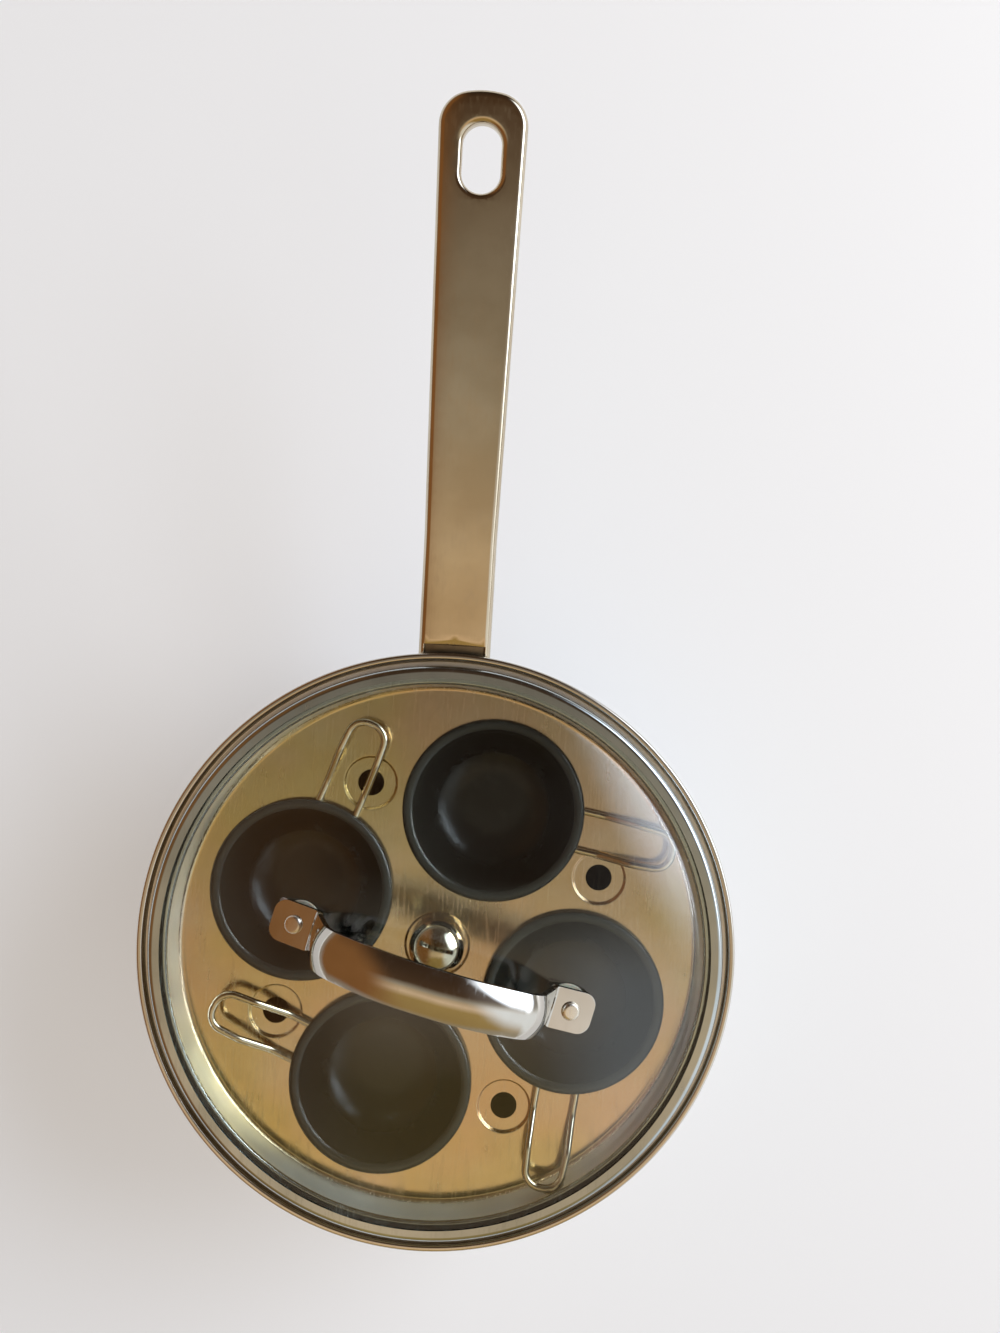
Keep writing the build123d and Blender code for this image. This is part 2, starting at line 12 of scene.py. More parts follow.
import bmesh
import bpy
from mathutils import Matrix, Vector, geometry


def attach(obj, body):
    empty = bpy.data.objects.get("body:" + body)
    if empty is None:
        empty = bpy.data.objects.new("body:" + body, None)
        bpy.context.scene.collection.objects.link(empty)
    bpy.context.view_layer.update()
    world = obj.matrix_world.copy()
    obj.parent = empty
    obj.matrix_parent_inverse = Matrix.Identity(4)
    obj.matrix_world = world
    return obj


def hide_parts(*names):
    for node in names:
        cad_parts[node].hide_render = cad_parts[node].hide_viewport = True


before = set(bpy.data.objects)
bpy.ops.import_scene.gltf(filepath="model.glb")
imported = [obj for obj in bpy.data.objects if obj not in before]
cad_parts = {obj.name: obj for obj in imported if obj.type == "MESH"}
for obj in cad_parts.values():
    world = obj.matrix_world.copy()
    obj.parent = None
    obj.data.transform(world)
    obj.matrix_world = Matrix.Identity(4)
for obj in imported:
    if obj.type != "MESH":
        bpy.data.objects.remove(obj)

MM = 0.001
SPIN_SIDES = 288
SHARP_ANGLE = math.radians(38)
MERGE_DISTANCE = 2e-6

Point = tuple[float, float]
log = logging.getLogger("egg_poacher_pan")


def linear(code: str) -> tuple[float, float, float, float]:
    """Turn an sRGB hex code into linear colour with full alpha.

    Args:
        code: six hex digits after a hash mark.

    Returns:
        Red, green, blue and alpha as linear shares.
    """
    shares = [int(code[start : start + 2], 16) / 255 for start in (1, 3, 5)]
    flat = [s / 12.92 if s <= 0.04045 else ((s + 0.055) / 1.055) ** 2.4 for s in shares]
    return (*flat, 1.0)


def per_metre(size_mm: float) -> float:
    """Scale of a texture whose features are this size in millimetres."""
    return 1 / (size_mm * MM)


def add_node(
    tree: bpy.types.NodeTree, kind: str, feeds: dict | None = None, **settings: object
) -> bpy.types.Node:
    """Add a node, set its properties and feed its inputs.

    Args:
        tree: node tree that gets the node.
        kind: Blender's name of the node type.
        feeds: for each input, by name or index, a plain value, a socket to link, or a node
            whose first output is linked.
        settings: the node's own properties.

    Returns:
        The new node.
    """
    node = tree.nodes.new(kind)
    for name, value in settings.items():
        setattr(node, name, value)
    for key, value in (feeds or {}).items():
        if isinstance(value, bpy.types.Node):
            value = value.outputs[0]
        if isinstance(value, bpy.types.NodeSocket):
            tree.links.new(value, node.inputs[key])
        else:
            node.inputs[key].default_value = value
    return node


# Outlines


def rounded(points: list[Point], bends: list[float], step: float = 7.5) -> list[Point]:
    """Bend a polyline: each inner corner becomes an arc.

    Args:
        points: corners of the polyline.
        bends: radius at each inner corner, 0 where it stays sharp.
        step: largest turn between two points of an arc, in degrees.

    Returns:
        The points of the bent line.
    """
    line = [points[0]]
    for before, corner, after, bend in zip(points, points[1:], points[2:], bends):
        back = (Vector(before) - Vector(corner)).normalized()
        ahead = (Vector(after) - Vector(corner)).normalized()
        turn = math.pi - back.angle(ahead)
        if not bend or turn < 1e-4:
            line.append(corner)
            continue
        start = Vector(corner) + back * bend * math.tan(turn / 2)
        middle = Vector(corner) + (back + ahead).normalized() * bend / math.cos(turn / 2)
        first = start - middle
        sense = 1 if back.x * ahead.y - back.y * ahead.x < 0 else -1
        count = max(2, math.ceil(math.degrees(turn) / step))
        for index in range(count + 1):
            angle = sense * turn * index / count
            x = first.x * math.cos(angle) - first.y * math.sin(angle)
            y = first.x * math.sin(angle) + first.y * math.cos(angle)
            line.append((middle.x + x, middle.y + y))
    line.append(points[-1])
    return line


def arc(centre: Point, radius: float, start: float, end: float, count: int) -> list[Point]:
    """Points of an arc.

    Args:
        centre: centre of the circle.
        radius: its radius.
        start: first angle in degrees, from +X.
        end: last angle in degrees.
        count: number of steps.

    Returns:
        The points, both ends included.
    """
    angles = [math.radians(start + (end - start) * index / count) for index in range(count + 1)]
    return [(centre[0] + radius * math.cos(a), centre[1] + radius * math.sin(a)) for a in angles]


def side_normals(line: list[Point]) -> list[Vector]:
    """Right-hand normals of a line, as long as a mitre needs at each point.

    Args:
        line: points of the line.

    Returns:
        One normal for each point.
    """
    edges = [(Vector(b) - Vector(a)).normalized() for a, b in zip(line, line[1:])]
    normals = [Vector((edge.y, -edge.x)) for edge in edges]
    mitres = [normals[0]]
    for one, two in zip(normals, normals[1:]):
        middle = (one + two).normalized()
        mitres.append(middle / max(middle.dot(one), 0.2))
    return mitres + [normals[-1]]


def sheet(line: list[Point], thickness: float) -> list[Point]:
    """Close a line into a sheet that is thick to its right.

    Args:
        line: shown face of the sheet.
        thickness: sheet thickness, negative for the left side.

    Returns:
        The outline: along the shown face and back along the other.
    """
    other = [
        (point[0] + normal.x * thickness, point[1] + normal.y * thickness)
        for point, normal in zip(line, side_normals(line))
    ]
    return line + other[::-1]


# Meshes


def new_object(name: str, mesh: bpy.types.Mesh, finish: bpy.types.Material) -> bpy.types.Object:
    """Put a mesh in the scene as an object at the origin, in one finish.

    Args:
        name: name of the object and its mesh.
        mesh: the mesh, in place.
        finish: its material.

    Returns:
        The new object.
    """
    mesh.name = name
    mesh.materials.clear()
    mesh.materials.append(finish)
    piece = bpy.data.objects.new(name, mesh)
    bpy.context.scene.collection.objects.link(piece)
    return piece


def mesh_from(
    points: list, faces: list[tuple[int, ...]], edges: list[tuple[int, int]] | None = None
) -> bpy.types.Mesh:
    """Make a mesh from points in millimetres.

    Args:
        points: the points.
        faces: point numbers of each face.
        edges: point numbers of each loose edge.

    Returns:
        The mesh, in metres.
    """
    mesh = bpy.data.meshes.new("draft")
    mesh.from_pydata([tuple(value * MM for value in point) for point in points], edges or [], faces)
    return mesh


def tidy(mesh: bpy.types.Mesh, place: Matrix = Matrix.Identity(4)) -> bpy.types.Mesh:
    """Weld a mesh, turn its faces outwards, shade it smooth and put it in place.

    Args:
        mesh: mesh that is changed.
        place: where it goes, in metres.

    Returns:
        The same mesh.
    """
    work = bmesh.new()
    work.from_mesh(mesh)
    bmesh.ops.remove_doubles(work, verts=work.verts, dist=MERGE_DISTANCE)
    bmesh.ops.recalc_face_normals(work, faces=work.faces)
    bmesh.ops.transform(work, matrix=place, verts=work.verts)
    work.to_mesh(mesh)
    work.free()
    mesh.shade_smooth()
    mesh.set_sharp_from_angle(angle=SHARP_ANGLE)
    return mesh


def evaluated(piece: bpy.types.Object) -> bpy.types.Mesh:
    """Turn an object with its modifiers into a plain mesh and remove the object.

    Args:
        piece: object that is used up.

    Returns:
        Its mesh with the modifiers' work in it.
    """
    graph = bpy.context.evaluated_depsgraph_get()
    mesh = bpy.data.meshes.new_from_object(piece.evaluated_get(graph))
    bpy.data.objects.remove(piece)
    return mesh


def even_shading(piece: bpy.types.Object) -> None:
    """Let large faces lead the shading, so that flats stay flat beside small bends.

    Args:
        piece: object that gets the modifier.
    """
    weighted = piece.modifiers.new("even_shading", "WEIGHTED_NORMAL")
    weighted.keep_sharp = True
    weighted.weight = 80


# Geometry node trees


class MakerTree:
    """A geometry node tree with named inputs that makes one kind of piece."""

    def __init__(self, name: str, inputs: dict[str, str]) -> None:
        """Start the tree with a geometry input, the named inputs and a geometry output.

        Args:
            name: name of the tree.
            inputs: socket type of each named input.
        """
        self.tree = bpy.data.node_groups.new(name, "GeometryNodeTree")
        sockets = self.tree.interface
        sockets.new_socket("Geometry", in_out="INPUT", socket_type="NodeSocketGeometry")
        for label, kind in {**inputs, "Finish": "NodeSocketMaterial"}.items():
            sockets.new_socket(label, in_out="INPUT", socket_type=kind)
        sockets.new_socket("Geometry", in_out="OUTPUT", socket_type="NodeSocketGeometry")
        self.entry = self.add("NodeGroupInput").outputs

    def add(self, kind: str, feeds: dict | None = None, **settings: object) -> bpy.types.Node:
        """Add a node to this tree."""
        return add_node(self.tree, kind, feeds, **settings)

    def end(self, result: bpy.types.Node) -> None:
        """Close the tree: realize what it made, then give it its finish.

        Args:
            result: node whose first output is the made piece.
        """
        real = self.add("GeometryNodeRealizeInstances", {0: result})
        dressed = self.add("GeometryNodeSetMaterial", {"Geometry": real, "Material": self.entry["Finish"]})
        self.add("NodeGroupOutput", {0: dressed})

    def run(self, draft: bpy.types.Mesh, **values: object) -> bpy.types.Mesh:
        """Run the tree on a draft mesh.

        Args:
            draft: mesh that the tree starts from.
            values: value of each named input.

        Returns:
            The made mesh, with no modifier left on it.
        """
        piece = bpy.data.objects.new(self.tree.name, draft)
        bpy.context.scene.collection.objects.link(piece)
        modifier = piece.modifiers.new(self.tree.name, "NODES")
        modifier.node_group = self.tree
        for item in self.tree.interface.items_tree:
            if item.in_out == "INPUT" and item.name in values:
                modifier[item.identifier] = values[item.name]
        return evaluated(piece)


class SpinTree(MakerTree):
    """Spins an outline about the pan's axis, as a lathe chuck turns a drawn sheet."""

    def __init__(self) -> None:
        """Build the tree: a grid whose points are read from the outline and turned."""
        super().__init__("spun_piece", {"Sides": "NodeSocketInt"})
        source, sides = self.entry["Geometry"], self.entry["Sides"]
        size = self.add("GeometryNodeAttributeDomainSize", {0: source}).outputs["Point Count"]
        around = self.add("ShaderNodeMath", {0: sides, 1: 1}, operation="ADD")
        grid = self.add("GeometryNodeMeshGrid", {"Vertices X": around, "Vertices Y": size})
        index = self.add("GeometryNodeInputIndex")
        middle = self.add("ShaderNodeMath", {0: index, 1: 0.5}, operation="ADD")
        share = self.add("ShaderNodeMath", {0: middle, 1: size}, operation="DIVIDE")
        column = self.add("ShaderNodeMath", {0: share}, operation="FLOOR")
        before = self.add("ShaderNodeMath", {0: column, 1: size}, operation="MULTIPLY")
        row = self.add("ShaderNodeMath", {0: index, 1: before}, operation="SUBTRACT")
        place = self.add("GeometryNodeInputPosition")
        sample = self.add(
            "GeometryNodeSampleIndex",
            {"Geometry": source, "Value": place, "Index": row},
            data_type="FLOAT_VECTOR",
        )
        step = self.add("ShaderNodeMath", {0: column, 1: sides}, operation="DIVIDE")
        turn = self.add("ShaderNodeMath", {0: step, 1: math.tau}, operation="MULTIPLY")
        turned = self.add("ShaderNodeVectorRotate", {"Vector": sample, "Angle": turn}, rotation_type="Z_AXIS")
        spun = self.add("GeometryNodeSetPosition", {"Geometry": grid, "Position": turned})
        self.end(self.add("GeometryNodeMergeByDistance", {0: spun, "Distance": MERGE_DISTANCE}))

    def spin(
        self, outline: list[Point], finish: bpy.types.Material, sides: int = SPIN_SIDES, closed: bool = True
    ) -> bpy.types.Mesh:
        """Spin an outline of (radius, height) points.

        Args:
            outline: points in millimetres.
            finish: material of the piece.
            sides: number of steps round the axis.
            closed: whether the outline returns to its first point.

        Returns:
            The spun mesh, welded at the seam and at the poles.
        """
        line = outline + outline[:1] if closed else outline
        points = [(radius, 0, height) for radius, height in line]
        steps = [(index, index + 1) for index in range(len(points) - 1)]
        return tidy(self.run(mesh_from(points, [], steps), Sides=sides, Finish=finish))


class RingTree(MakerTree):
    """Repeats a piece at even steps round the pan's axis, as a press tool indexes."""

    def __init__(self) -> None:
        """Build the tree: one copy at each corner of a turned circle."""
        inputs = {"Count": "NodeSocketInt", "Radius": "NodeSocketFloat", "Phase": "NodeSocketFloat"}
        super().__init__("ring_of_pieces", inputs)
        sizes = {"Vertices": self.entry["Count"], "Radius": self.entry["Radius"]}
        circle = self.add("GeometryNodeMeshCircle", sizes)
        phase = self.add("ShaderNodeCombineXYZ", {"Z": self.entry["Phase"]})
        turned = self.add("GeometryNodeTransform", {0: circle, "Rotation": phase})
        what = {"Points": turned, "Instance": self.entry["Geometry"]}
        self.end(self.add("GeometryNodeInstanceOnPoints", what))


class DomePairTree(MakerTree):
    """Stands a piece on the lid's dome at both rivets, square to the glass."""

    def __init__(self) -> None:
        """Build the tree: two points, one each side, leaned outwards on the sphere."""
        labels = ("Sphere radius", "Sphere height", "Lean", "Turn")
        super().__init__("pair_on_dome", dict.fromkeys(labels, "NodeSocketFloat"))
        radius, height, angle, bearing = (self.entry[label] for label in labels)
        index = self.add("GeometryNodeInputIndex")
        double = self.add("ShaderNodeMath", {0: index, 1: 2}, operation="MULTIPLY")
        side = self.add("ShaderNodeMath", {0: double, 1: 1}, operation="SUBTRACT")
        lean = self.add("ShaderNodeMath", {0: side, 1: angle}, operation="MULTIPLY")
        tilt = self.add("ShaderNodeCombineXYZ", {"Y": lean, "Z": bearing})
        upright = self.add("ShaderNodeCombineXYZ", {"Z": radius})
        leaned = self.add(
            "ShaderNodeVectorRotate", {"Vector": upright, "Rotation": tilt}, rotation_type="EULER_XYZ"
        )
        lift = self.add("ShaderNodeCombineXYZ", {"Z": height})
        place = self.add("ShaderNodeVectorMath", {0: leaned, 1: lift}, operation="ADD")
        points = self.add("GeometryNodePoints", {"Count": 2, "Position": place})
        what = {"Points": points, "Instance": self.entry["Geometry"], "Rotation": tilt}
        self.end(self.add("GeometryNodeInstanceOnPoints", what))


class WireTree(MakerTree):
    """Bends a rod along a line of straight runs."""

    def __init__(self) -> None:
        """Build the tree: the draft's edges as a curve, its corners bent, a round rod along it."""
        super().__init__("bent_wire", {"Rod radius": "NodeSocketFloat", "Rod sides": "NodeSocketInt"})
        bend = self.add("GeometryNodeInputNamedAttribute", {"Name": "bend"}, data_type="FLOAT")
        line = self.add("GeometryNodeMeshToCurve", {0: self.entry["Geometry"]})
        corners = {"Curve": line, "Radius": bend, "Count": 12, "Limit Radius": True}
        bent = self.add("GeometryNodeFilletCurve", corners, mode="POLY")
        sizes = {"Resolution": self.entry["Rod sides"], "Radius": self.entry["Rod radius"]}
        rod = self.add("GeometryNodeCurvePrimitiveCircle", sizes)
        what = {"Curve": bent, "Profile Curve": rod, "Fill Caps": True}
        self.end(self.add("GeometryNodeCurveToMesh", what))


# Finishes


class Grain(Enum):
    """Direction of the fine lines that polishing leaves."""

    NONE = "none"
    RINGS = "rings round the pan's axis"
    ALONG = "along the long handle"


@dataclass(frozen=True)
class Finish:
    """A finish made of nodes, named after the real material."""

    name: str

    def start(self) -> tuple[bpy.types.Material, bpy.types.NodeTree, bpy.types.NodeSocket]:
        """Make an empty node material.

        Returns:
            The material, its nodes and its object coordinates.
        """
        material = bpy.data.materials.new(self.name)
        material.use_nodes = True
        tree = material.node_tree
        tree.nodes.clear()
        return material, tree, add_node(tree, "ShaderNodeTexCoord").outputs["Object"]

    @staticmethod
    def patches(
        tree: bpy.types.NodeTree,
        place: bpy.types.NodeSocket | bpy.types.Node,
        size_mm: float,
        span: Point,
        detail: float = 3.0,
        values: Point = (0.0, 1.0),
    ) -> bpy.types.Node:
        """Cloudy patches of one real size.

        Args:
            tree: the material's nodes.
            place: coordinates that the pattern follows.
            size_mm: size of a patch.
            span: noise at which a patch begins, and at which it is whole.
            detail: how much finer noise the edges have.
            values: value outside the patches and inside them.

        Returns:
            The node whose output is the pattern's value.
        """
        feeds = {"Vector": place, "Scale": per_metre(size_mm), "Detail": detail}
        cloud = add_node(tree, "ShaderNodeTexNoise", feeds)
        ends = {"From Min": span[0], "From Max": span[1], "To Min": values[0], "To Max": values[1]}
        return add_node(tree, "ShaderNodeMapRange", {"Value": cloud, **ends})


@dataclass(frozen=True)
class PolishedSteel(Finish):
    """Stainless steel, pressed and buffed: it mirrors the room with a faint haze.

    Slow clouds of a second tone stand for heat tint and water marks, fine crossing lines
    for wiping scratches, and long shallow waves for the pressing. Up to a height it may
    carry a painted straw reflection of a warm room, and be satin with dried water marks above it.
    """

    light: str
    tint: str
    # Straw tint up to a height, with a second tone in broad patches: painted reflection of a warm room.
    painted_reflection: str = ""
    painted_reflection_tint: str = ""
    painted_reflection_tint_mm: float = 70.0
    painted_reflection_top_mm: float = 0.0
    painted_reflection_edge_mm: Point = (0.1, 1.4)
    satin_above: float = 0.0
    dried_above: float = 0.0
    tint_mm: float = 38.0
    roughness: float = 0.12
    haze: float = 0.12
    haze_mm: float = 9.0
    scratch: float = 0.07
    scratch_turns: Point = (22.0, -51.0)
    wave_mm: float = 17.0
    wave_depth_mm: float = 0.03
    grain: Grain = Grain.NONE
    grain_mm: float = 0.9
    grain_depth_mm: float = 0.003

    def build(self) -> bpy.types.Material:
        """Make the material's nodes.

        Returns:
            The material.
        """
        material, tree, place = self.start()
        marks = self.patches(tree, place, self.haze_mm, (0.45, 0.8), 6.0, (0.0, self.haze))
        one, two = (self.scratches(tree, place, turn) for turn in self.scratch_turns)
        lines = add_node(tree, "ShaderNodeMath", {0: one, 1: two}, operation="MAXIMUM")
        used = add_node(tree, "ShaderNodeMath", {0: marks, 1: lines}, operation="ADD")
        rough = add_node(tree, "ShaderNodeMath", {0: used, 1: self.roughness}, operation="ADD")
        waves = self.patches(tree, place, self.wave_mm, (0.2, 0.8), 1.0)
        height = {"Height": waves, "Distance": self.wave_depth_mm * MM, "Strength": 1.0}
        bump = add_node(tree, "ShaderNodeBump", height)
        if self.grain is not Grain.NONE:
            fine = {"Height": self.grain_lines(tree, place), "Distance": self.grain_depth_mm * MM}
            bump = add_node(tree, "ShaderNodeBump", {**fine, "Strength": 1.0, "Normal": bump})
        feeds = {"Metallic": 1.0, "Roughness": rough, "Normal": bump}
        if self.painted_reflection:
            satin = self.past_painted_reflection(tree, place, 0.0, self.satin_above)
            feeds["Roughness"] = add_node(tree, "ShaderNodeMath", {0: rough, 1: satin}, operation="ADD")
            feeds["Metallic"] = self.past_painted_reflection(tree, place, 1.0, 1.0 - self.dried_above)
        feeds["Base Color"] = self.colour(tree, place)
        shader = add_node(tree, "ShaderNodeBsdfPrincipled", feeds)
        add_node(tree, "ShaderNodeOutputMaterial", {"Surface": shader})
        return material

    def past_painted_reflection(
        self, tree: bpy.types.NodeTree, place: bpy.types.NodeSocket, below: float, above: float
    ) -> bpy.types.Node:
        """Change a value where the film ends.

        Args:
            tree: the material's nodes.
            place: object coordinates.
            below: value on the tinted flat.
            above: value a little above its edge.

        Returns:
            The node whose output is the value.
        """
        height = add_node(tree, "ShaderNodeSeparateXYZ", {0: place}).outputs["Z"]
        start, end = ((self.painted_reflection_top_mm + step) * MM for step in self.painted_reflection_edge_mm)
        ends = {"From Min": start, "From Max": end, "To Min": below, "To Max": above}
        return add_node(tree, "ShaderNodeMapRange", {"Value": height, **ends})

    def colour(self, tree: bpy.types.NodeTree, place: bpy.types.NodeSocket) -> bpy.types.NodeSocket:
        """Two tones in slow clouds, and a painted straw reflection of a warm room on the flat.

        Args:
            tree: the material's nodes.
            place: object coordinates.

        Returns:
            The colour's socket.
        """
        clouds = self.patches(tree, place, self.tint_mm, (0.36, 0.64), 5.0)
        tones = {"Factor": clouds, "A": linear(self.light), "B": linear(self.tint)}
        metal = add_node(tree, "ShaderNodeMix", tones, data_type="RGBA").outputs["Result"]
        if not self.painted_reflection:
            return metal
        # Share of the painted straw and peach reflection: whole on the flat, none up the wall.
        painted_reflection_cover = self.past_painted_reflection(tree, place, 1.0, 0.0)
        patchy = add_node(tree, "ShaderNodeMath", {0: clouds, 1: 0.35, 2: 0.65}, operation="MULTIPLY_ADD")
        share = add_node(tree, "ShaderNodeMath", {0: painted_reflection_cover, 1: patchy}, operation="MULTIPLY")
        aside = add_node(tree, "ShaderNodeMapping", {"Vector": place, "Location": (0.31, 0.12, 0.0)})
        broad = self.patches(tree, aside, self.painted_reflection_tint_mm, (0.6, 0.4))
        tones = {"Factor": broad, "A": linear(self.painted_reflection), "B": linear(self.painted_reflection_tint)}
        painted_reflection = add_node(tree, "ShaderNodeMix", tones, data_type="RGBA").outputs["Result"]
        layers = {"Factor": share, "A": metal, "B": painted_reflection}
        return add_node(tree, "ShaderNodeMix", layers, data_type="RGBA").outputs["Result"]

    def scratches(
        self, tree: bpy.types.NodeTree, place: bpy.types.NodeSocket, turn: float
    ) -> bpy.types.Node:
        """Sparse wiping lines in one direction, drawn 0.5 mm wide so that they show.

        Args:
            tree: the material's nodes.
            place: object coordinates.
            turn: direction of the lines in plan, in degrees.

        Returns:
            The node whose output is the roughness that they add.
        """
        along = {"Rotation": (0, 0, math.radians(turn)), "Scale": (1.0, 0.07, 1.0)}
        turned = add_node(tree, "ShaderNodeMapping", {"Vector": place, **along})
        return self.patches(tree, turned, 0.9, (0.66, 0.72), 0.0, (0.0, self.scratch))

    def grain_lines(self, tree: bpy.types.NodeTree, place: bpy.types.NodeSocket) -> bpy.types.Node:
        """Lines of the polishing wheel, along the handle or round the axis.

        Real ones are under 0.1 mm apart. They are drawn about 1 mm apart, so that they show.

        Args:
            tree: the material's nodes.
            place: object coordinates.

        Returns:
            The node whose output is the height of the lines.
        """
        if self.grain is Grain.ALONG:
            run = add_node(tree, "ShaderNodeMapping", {"Vector": place, "Scale": (1.0, 0.01, 1.0)})
            return self.patches(tree, run, self.grain_mm, (0.3, 0.7), 2.0)
        flat = add_node(tree, "ShaderNodeVectorMath", {0: place, 1: (1, 1, 0)}, operation="MULTIPLY")
        radius = add_node(tree, "ShaderNodeVectorMath", {0: flat}, operation="LENGTH").outputs["Value"]
        height = add_node(tree, "ShaderNodeSeparateXYZ", {0: place}).outputs["Z"]
        ring = add_node(tree, "ShaderNodeCombineXYZ", {"X": radius, "Y": height})
        return self.patches(tree, ring, self.grain_mm, (0.3, 0.7), 2.0)


@dataclass(frozen=True)
class NonStickCoating(Finish):
    """Sprayed dark fluoropolymer on aluminium: satin, with a faint orange peel.

    Use leaves paler scuffs, and the lip is a little lighter all round: partly rub wear, partly a painted
    highlight of its rolled edge.
    """

    body: str
    worn_and_lip_sheen: str
    lip_z_mm: float
    lip_band_mm: float = 1.2
    lip_wear_and_sheen: float = 0.3
    scuff_wear: float = 0.2
    roughness: float = 0.2
    uneven: float = 0.07
    peel_mm: float = 3.2
    peel_depth_mm: float = 0.0008

    def build(self) -> bpy.types.Material:
        """Make the material's nodes.

        Returns:
            The material.
        """
        material, tree, place = self.start()
        height = add_node(tree, "ShaderNodeSeparateXYZ", {0: place}).outputs["Z"]
        # Paler band at the lip: partly rub wear, partly a painted highlight of the rolled edge.
        ends = {"From Min": (self.lip_z_mm - self.lip_band_mm) * MM, "From Max": self.lip_z_mm * MM}
        rim = add_node(tree, "ShaderNodeMapRange", {"Value": height, **ends, "To Max": self.lip_wear_and_sheen})
        scuffs = self.patches(tree, place, 7.0, (0.56, 0.8), 4.0, (0.0, self.scuff_wear))
        wear_and_lip_sheen = add_node(tree, "ShaderNodeMath", {0: rim, 1: scuffs}, operation="MAXIMUM")
        tones = {"Factor": wear_and_lip_sheen, "A": linear(self.body), "B": linear(self.worn_and_lip_sheen)}
        colour = add_node(tree, "ShaderNodeMix", tones, data_type="RGBA").outputs["Result"]
        gloss = (self.roughness, self.roughness + self.uneven)
        rough = self.patches(tree, place, 8.0, (0.35, 0.7), 4.0, gloss)
        peel = self.patches(tree, place, self.peel_mm, (0.3, 0.7), 0.0)
        skin = {"Height": peel, "Distance": self.peel_depth_mm * MM, "Strength": 1.0}
        bump = add_node(tree, "ShaderNodeBump", skin)
        feeds = {"Base Color": colour, "Roughness": rough, "IOR": 1.4, "Normal": bump}
        shader = add_node(tree, "ShaderNodeBsdfPrincipled", feeds)
        add_node(tree, "ShaderNodeOutputMaterial", {"Surface": shader})
        return material


@dataclass(frozen=True)
class TemperedGlass(Finish):
    """Clear soda-lime glass, pressed and toughened: faint waves and a few finger marks."""

    colour: str
    marks: float = 0.05
    wave_mm: float = 26.0
    wave_depth_mm: float = 0.03

    def build(self) -> bpy.types.Material:
        """Make the material's nodes; lamp light passes, so what is under the lid is lit.

        Returns:
            The material.
        """
        material, tree, place = self.start()
        marks = self.patches(tree, place, 14.0, (0.6, 0.85), 6.0, (0.0, self.marks))
        waves = self.patches(tree, place, self.wave_mm, (0.2, 0.8), 1.0)
        height = {"Height": waves, "Distance": self.wave_depth_mm * MM, "Strength": 1.0}
        bump = add_node(tree, "ShaderNodeBump", height)
        feeds = {"Base Color": linear(self.colour), "Roughness": marks, "IOR": 1.5, "Normal": bump}
        glass = add_node(tree, "ShaderNodeBsdfPrincipled", {**feeds, "Transmission Weight": 1.0})
        clear = add_node(tree, "ShaderNodeBsdfTransparent", {"Color": linear(self.colour)})
        shadow = add_node(tree, "ShaderNodeLightPath").outputs["Is Shadow Ray"]
        mixed = add_node(tree, "ShaderNodeMixShader", {0: shadow, 1: glass, 2: clear})
        add_node(tree, "ShaderNodeOutputMaterial", {"Surface": mixed})
        return material


@dataclass(frozen=True)
class SiliconeRubber(Finish):
    """Translucent moulded silicone: matt, a little milky, with a dusting of lint."""

    colour: str
    dust: str

    def build(self) -> bpy.types.Material:
        """Make the material's nodes.

        Returns:
            The material.
        """
        material, tree, place = self.start()
        lint = self.patches(tree, place, 1.6, (0.5, 0.8), 4.0)
        tones = {"Factor": lint, "A": linear(self.colour), "B": linear(self.dust)}
        colour = add_node(tree, "ShaderNodeMix", tones, data_type="RGBA").outputs["Result"]
        rough = add_node(tree, "ShaderNodeMath", {0: lint, 1: 0.2, 2: 0.5}, operation="MULTIPLY_ADD")
        feeds = {"Base Color": colour, "Roughness": rough, "IOR": 1.41}
        milky = {"Subsurface Weight": 0.3, "Subsurface Scale": 0.002}
        shader = add_node(tree, "ShaderNodeBsdfPrincipled", {**feeds, **milky})
        add_node(tree, "ShaderNodeOutputMaterial", {"Surface": shader})
        return material


